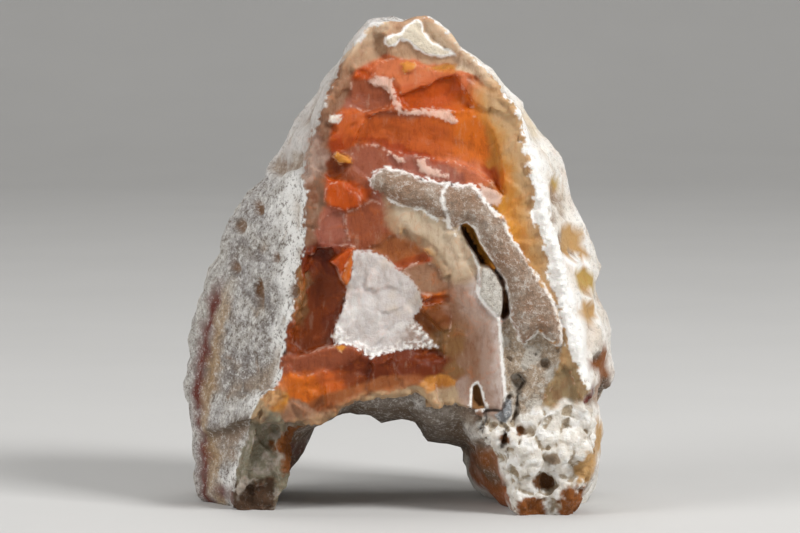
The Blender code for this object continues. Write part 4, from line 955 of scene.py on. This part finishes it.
def paint_face(x, z, ripple, grit, fine):
    """The colours of the broken face, from the soft ground to the sharp chips."""
    layers = Paint(len(x), "orange")
    layers.lay(np.ones(len(x)), blended(x + 0.9 * ripple, z + 0.6 * ripple, PATCHES), 1.0)
    for colour, share, *_, outline in FACETS:
        ragged = 0.35 if colour in CHIP_COLOURS else 0.1
        within = inside(x, z, outline) + ragged * (fine + 0.6 * grit)
        layers.lay(share * step(-0.15, 0.15, within), colour, 1.0)
        chipped = step(0.2, 0.05, np.abs(within - 0.1)) * step(0.25, 0.5, fine - 0.9 * ripple)
        layers.lay(0.4 * chipped, "pale_rose", 0.9)
    layers.lay(0.3 * step(0.1, 0.8, -ripple), "burnt", 1.0)
    for line, bands in ((PLATE_EDGE, EDGE_BANDS), (SEPTUM_FOOT, MILKY_BANDS)):
        from_edge = along_line(x, z, line) + 0.5 * ripple + 0.4 * grit
        for width, colour in bands:
            layers.lay(0.8 * step(width + 0.9, width - 0.5, from_edge), colour, 0.9)
    from_rim = rim_distance(x, z) + 0.4 * grit + 0.7 * ripple
    right = step(8.0, 11.0, x) * step(18.0, 24.0, z) * step(56.0, 52.0, z)
    for width, colour in RIM_BANDS:
        layers.lay(0.8 * right * step(width, width - 1.4, from_rim), colour, 0.8)
    quartz = step(-0.12, 0.12, inside(x, z, QUARTZ) + 0.25 * fine)
    layers.lay(quartz, "lilac_grey", 0.6)
    layers.lay(quartz * 0.5 * step(-0.2, 0.8, ripple), "white", 0.5)
    layers.lay(quartz * 0.4 * step(0.1, 0.8, -ripple), "milk", 0.7)
    corner = step(3.0, 1.4, np.hypot(x - 2.8, z - 22.8) - 0.6 * grit)
    layers.lay(quartz * 0.7 * corner, "lilac_brown", 0.8)
    druse = quartz * step(1.6, 0.5, inside(x, z, QUARTZ)) * step(25.5, 23.5, z) * step(-0.2, 0.3, fine)
    layers.lay(0.9 * druse, "white", 0.4)
    floor_share = step(-0.2, 0.2, inside(x, z, FLOOR) + 0.3 * grit)
    layers.lay(floor_share, "sand", 0.0, 0.6)
    layers.lay(0.8 * floor_share * step(-0.1, 0.5, ripple + 0.4 * grit), "chalk", 0.0, 0.4)
    top = inside(x, z, TOP_CHALK) + 0.2 * grit
    layers.lay(step(-0.15, 0.1, top), "white", 0.0)
    layers.lay(0.9 * step(0.15, 0.35, top), "ivory", 0.0, 0.15)
    septum = inside(x, z, SEPTUM) + 0.25 * fine + 0.2 * grit
    layers.lay(0.9 * step(-0.2, 0.0, septum) * step(-0.8, 0.0, ripple + grit), "white", 0.1)
    inner = step(0.1, 0.45, septum)
    layers.lay(inner, "septum", 0.0, 0.5)
    layers.lay(0.3 * inner * step(0.0, 0.6, grit + ripple), "chalk", 0.0, 0.5)
    layers.lay(0.5 * inner * step(0.1, 0.7, -ripple), "umber", 0.0, 0.7)
    layers.lay(0.8 * step(0.35, 0.1, along_line(x, z, DIVIDING_LINE) + 0.2 * fine), "white", 0.1)
    layers.lay(step(-0.1, 0.2, inside(x, z, PLATE)), "chalk", 0.1, 0.5)
    layers.lay(0.9 * step(0.3, 0.12, along_line(x, z, PLATE_EDGE) + 0.15 * fine), "white", 0.1)
    crevice = step(-0.05, 0.2, inside(x, z, CREVICE))
    layers.lay(crevice, "dark_brown", 0.1)
    layers.lay(crevice * step(0.55, 0.25, along_line(x, z, GOLDEN_STREAK) + 0.3 * fine), "golden", 0.4)
    layers.lay(0.8 * crevice * step(30.4, 29.0, z), "brown", 0.4)
    layers.lay(step(-0.3, -0.05, inside(x, z, NOTCH) + 0.25 * fine), "white", 0.0)
    layers.lay(step(0.0, 0.2, inside(x, z, NOTCH)), "olive_brown", 0.3)
    return layers


def paint_legs(layers, x, z, ripple, grit, hollow):
    """The honey lip over the arch, the glassy left leg, and the knobbly right foot with painted shade in
    its hollows.
    """
    lip = step(1.6, 0.3, rim_distance(x, z) + 0.5 * grit) * step(18.0, 15.0, z) * step(9.0, 6.0, x)
    layers.lay(0.6 * lip, "pale_honey", 0.8)
    leg = leg_share(x, z)
    layers.lay(leg, "glass_grey", 0.6, 0.2)
    layers.lay(leg * 0.5 * step(0.1, 0.7, grit + ripple), "pale_lilac", 0.4, 0.2)
    foot = foot_share(x, z)
    layers.lay(foot, "cream", 0.1, 0.1)
    layers.lay(0.8 * foot * step(-0.1, 0.4, grit + 0.6 * ripple), "white", 0.0, 0.1)
    layers.lay(0.5 * foot * step(0.2, 0.8, -ripple), "sand", 0.0, 0.3)
    # Painted shade: olive tan and brown darken the hollows between the foot's lumps
    layers.lay(0.8 * foot * step(0.03, 0.16, hollow), "olive_tan", 0.1, 0.3)
    layers.lay(0.7 * foot * step(0.22, 0.46, hollow), "brown", 0.1, 0.3)
    for colour, px, py, pz, radius in RIND_PATCHES:
        near = step(1.1, 0.8, np.hypot(x - px, z - pz) / radius + 0.4 * ripple + 0.2 * grit)
        if py < FRONT_LIMIT:
            layers.lay((foot + leg) * near, colour, 0.3, 0.1)
    layers.lay(step(-0.1, 0.2, inside(x, z, SLATE_CHIP)), "slate", 0.1, 0.5)
    for line in CRACKS:
        layers.lay(0.8 * step(0.28, 0.08, along_line(x, z, line) + 0.2 * grit), "dark_brown", 0.0)


def paint(mesh):
    """Colour, waxiness and specks of every point, from the same outlines as the shapes."""
    points = coordinates(mesh, "co") / MM
    x, y, z = points.T
    normals = coordinates(mesh, "normal")
    ripple = rough(points, 2.6, seed=21.0)
    grit = rough(points, 0.9, seed=33.0)
    fine = rough(points, 0.45, seed=41.0)
    hollow = hollowness(mesh, points, normals)
    rind = paint_rind(points, normals, ripple, grit, hollow)
    face = paint_face(x, z, ripple, grit, fine)
    paint_legs(face, x, z, ripple, grit, hollow)
    top_left = step(0.0, -2.5, x) * step(57.5, 60.0, z)
    right = np.maximum(step(6.0, 9.0, x), 0.35 * top_left)
    width = RIM_WIDTH * right * step(16.0, 22.0, z) * (1 - step(38.0, 52.0, z) * (1 - top_left))
    from_rim = rim_distance(x, z) + 0.6 * grit + 0.5 * ripple
    on_broken = on_face(mesh).astype(float)
    near_face = step(5.0, 2.5, y - front_depth(x, z) + 1.5 * ripple)
    white = right * near_face * step(14.0, 18.0, z) * step(-1.6, -0.8, from_rim)
    rind.lay(0.95 * white, "white", 0.1)
    side = np.where(z < 16, 1.0, step(width - 0.5, width - 0.2, from_rim)) * on_broken
    rind.lay(side, face.colour, face.wax, face.specks)
    store_colour(mesh, "tint", rind.colour)
    store(mesh, "wax", rind.wax)
    store(mesh, "specks", rind.specks)


class Nodes:
    """Short ways to add and join shader nodes."""

    def __init__(self, name):
        self.material = bpy.data.materials.new(name)
        self.material.use_nodes = True
        self.tree = self.material.node_tree
        self.shader = self.tree.nodes["Principled BSDF"]

    def put(self, socket, value):
        if isinstance(value, bpy.types.NodeSocket):
            self.tree.links.new(value, socket)
        elif value is not None:
            socket.default_value = value

    def attribute(self, name, output="Fac"):
        node = self.tree.nodes.new("ShaderNodeAttribute")
        node.attribute_name = name
        return node.outputs[output]

    def place(self):
        """Where a point is on the stone, in millimetres."""
        coordinate = self.tree.nodes.new("ShaderNodeTexCoord")
        scale = self.tree.nodes.new("ShaderNodeVectorMath")
        scale.operation = "SCALE"
        self.put(scale.inputs[0], coordinate.outputs["Object"])
        scale.inputs["Scale"].default_value = 1 / MM
        return scale.outputs[0]

    def noise(self, place, size, detail=3.0, roughness=0.5, distortion=0.0):
        node = self.tree.nodes.new("ShaderNodeTexNoise")
        self.put(node.inputs["Vector"], place)
        node.inputs["Scale"].default_value = 1 / size
        node.inputs["Detail"].default_value = detail
        node.inputs["Roughness"].default_value = roughness
        node.inputs["Distortion"].default_value = distortion
        return node.outputs["Fac"]

    def stretched(self, place, factors):
        node = self.tree.nodes.new("ShaderNodeVectorMath")
        node.operation = "MULTIPLY"
        self.put(node.inputs[0], place)
        node.inputs[1].default_value = factors
        return node.outputs[0]

    def math(self, operation, first, second=None, third=None):
        node = self.tree.nodes.new("ShaderNodeMath")
        node.operation = operation
        for socket, value in zip(node.inputs, (first, second, third)):
            self.put(socket, value)
        return node.outputs[0]

    def ramp(self, value, low, high, start=0.0, end=1.0):
        """Smooth change from start at low to end at high."""
        node = self.tree.nodes.new("ShaderNodeMapRange")
        node.interpolation_type = "SMOOTHSTEP"
        for socket, number in zip(node.inputs, (value, low, high, start, end)):
            self.put(socket, number)
        return node.outputs[0]

    def mix(self, factor, first, second, blend="MIX"):
        node = self.tree.nodes.new("ShaderNodeMix")
        node.data_type = "RGBA"
        node.blend_type = blend
        self.put(node.inputs["Factor"], factor)
        for socket, value in ((node.inputs["A"], first), (node.inputs["B"], second)):
            if isinstance(value, tuple):
                value = (*value, 1.0)
            self.put(socket, value)
        return node.outputs["Result"]

    def veil(self, under, pattern, limits, shares, mask, over):
        """One colour over another, where a pattern passes its limits inside a mask."""
        share = self.math("MULTIPLY", self.ramp(pattern, *limits, *shares), mask)
        return self.mix(share, under, over)

    def bump(self, height, distance):
        node = self.tree.nodes.new("ShaderNodeBump")
        node.inputs["Strength"].default_value = 1.0
        node.inputs["Distance"].default_value = distance * MM
        self.put(node.inputs["Height"], height)
        return node.outputs["Normal"]


def agate_material():
    """One stone: waxy and faintly translucent where the mask says so, dry and granular elsewhere."""
    nodes = Nodes("agate")
    place = nodes.place()
    middle = nodes.noise(place, 1.8, detail=4.0, roughness=0.6)
    wax = nodes.attribute("wax")
    dry = nodes.math("SUBTRACT", 1.0, wax)
    specks = nodes.attribute("specks")
    tint = nodes.attribute("tint", "Color")

    # Light and dark grains on the dry parts
    grains = nodes.noise(place, 0.8, detail=3.0, roughness=0.95)
    colour = nodes.veil(tint, grains, (0.53, 0.61), (0.0, 0.5), specks, COLOURS["white"])
    colour = nodes.veil(colour, grains, (0.38, 0.48), (0.9, 0.0), specks, COLOURS["grain"])

    # Paler and deeper clouds in the glassy parts
    haze = nodes.noise(place, 2.4, detail=8.0, roughness=0.75, distortion=0.8)
    colour = nodes.veil(colour, haze, (0.5, 0.72), (0.0, 0.3), wax, COLOURS["orange"])
    colour = nodes.veil(colour, haze, (0.3, 0.5), (0.35, 0.0), wax, COLOURS["burnt"])

    # Fine upright streaks across the bands of the glassy parts
    fibres = nodes.noise(nodes.stretched(place, (1.0, 1.0, 0.3)), 0.9, detail=5.0, roughness=0.7)
    shaded = nodes.mix(1.0, colour, STREAK_SHADE, "MULTIPLY")
    colour = nodes.veil(colour, fibres, (0.36, 0.5), (0.5, 0.0), wax, shaded)
    colour = nodes.veil(colour, fibres, (0.54, 0.7), (0.0, 0.16), wax, COLOURS["milk"])
    nodes.put(nodes.shader.inputs["Base Color"], colour)

    smooth = nodes.ramp(middle, 0.3, 0.7, 0.24, 0.42)
    roughness = nodes.math("MULTIPLY_ADD", wax, nodes.math("SUBTRACT", smooth, 0.88), 0.88)
    nodes.put(nodes.shader.inputs["Roughness"], roughness)
    nodes.put(nodes.shader.inputs["Subsurface Weight"], nodes.math("MULTIPLY_ADD", wax, 0.3, 0.02))
    nodes.shader.inputs["Subsurface Radius"].default_value = (1.0, 0.6, 0.4)
    nodes.shader.inputs["Subsurface Scale"].default_value = 2.0 * MM
    nodes.shader.inputs["IOR"].default_value = 1.54
    nodes.shader.inputs["Specular IOR Level"].default_value = 0.18

    height = nodes.math("MULTIPLY", grains, dry)
    height = nodes.math("MULTIPLY_ADD", nodes.math("MULTIPLY", haze, wax), 0.5, height)
    height = nodes.math("MULTIPLY_ADD", nodes.math("MULTIPLY", fibres, wax), 0.15, height)
    nodes.put(nodes.shader.inputs["Normal"], nodes.bump(height, BUMP_DEPTH))
    return nodes.material


def agate():
    mesh = stone_mesh()
    paint(mesh)
    centred(mesh)
    mesh.name = "agate_stone"
    mesh.shade_smooth()
    mesh.materials.clear()
    mesh.materials.append(agate_material())
    stone = bpy.data.objects.new("agate_stone", mesh)
    bpy.context.scene.collection.objects.link(stone)
    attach(stone, "root")
    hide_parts("agate")


def floor():
    """A pale table that curves up into a backdrop."""
    width, front, bend_start, bend_radius, height = 3.0, -1.5, 0.6, 0.5, 1.6
    profile = [(front, 0.0), (bend_start, 0.0)]
    for i in range(1, 13):
        angle = math.radians(90 * i / 12)
        profile.append((bend_start + bend_radius * math.sin(angle), bend_radius * (1 - math.cos(angle))))
    profile.append((bend_start + bend_radius, height))
    verts = [(side * width / 2, y, z) for y, z in profile for side in (-1, 1)]
    faces = [(2 * i, 2 * i + 1, 2 * i + 3, 2 * i + 2) for i in range(len(profile) - 1)]
    mesh = bpy.data.meshes.new("floor")
    mesh.from_pydata(verts, [], faces)
    mesh.shade_smooth()
    nodes = Nodes("floor")
    place = nodes.place()
    shade = nodes.mix(nodes.noise(place, 40.0), srgb(194, 193, 191), srgb(200, 199, 197))
    nodes.put(nodes.shader.inputs["Base Color"], shade)
    nodes.shader.inputs["Roughness"].default_value = 0.9
    mesh.materials.append(nodes.material)
    obj = bpy.data.objects.new("floor", mesh)
    bpy.context.scene.collection.objects.link(obj)


def softbox(name, place, size, power):
    """A soft white light aimed at the middle of the stone."""
    light = bpy.data.lights.new(name, "AREA")
    light.shape = "RECTANGLE"
    light.size, light.size_y = size
    light.energy = power
    lamp = bpy.data.objects.new(name, light)
    lamp.location = place
    lamp.rotation_euler = (Vector(place) - Vector(LIGHT_TARGET)).to_track_quat("Z", "Y").to_euler()
    bpy.context.scene.collection.objects.link(lamp)


def studio():
    softbox("key", (0.46, -0.34, 0.5), (0.2, 0.2), 4.8)
    softbox("fill", (-0.55, -0.34, 0.35), (0.35, 0.4), 2.5)
    softbox("top", (0.0, 0.1, 0.8), (0.5, 0.4), 1.8)
    world = bpy.data.worlds.new("studio")
    world.use_nodes = True
    world.node_tree.nodes["Background"].inputs["Color"].default_value = (0.93, 0.92, 0.9, 1)
    world.node_tree.nodes["Background"].inputs["Strength"].default_value = 0.26
    bpy.context.scene.world = world
    bpy.context.scene.view_settings.view_transform = "Standard"


def camera():
    """Slightly above the stone, square to the broken face."""
    lens = bpy.data.cameras.new("camera")
    lens.sensor_width = SENSOR
    lens.lens = SENSOR * CAMERA_DISTANCE / VIEW_WIDTH
    lens.clip_start = 0.01
    target = Vector((VIEW_MIDDLE[0] * MM, FACE_DEPTH * MM, VIEW_MIDDLE[1] * MM))
    away = Vector((0, -math.cos(CAMERA_ELEVATION), math.sin(CAMERA_ELEVATION)))
    view = bpy.data.objects.new("camera", lens)
    view.location = target + away * CAMERA_DISTANCE
    view.rotation_euler = away.to_track_quat("Z", "Y").to_euler()
    bpy.context.scene.collection.objects.link(view)
    bpy.context.scene.camera = view


camera()
studio()
floor()
agate()
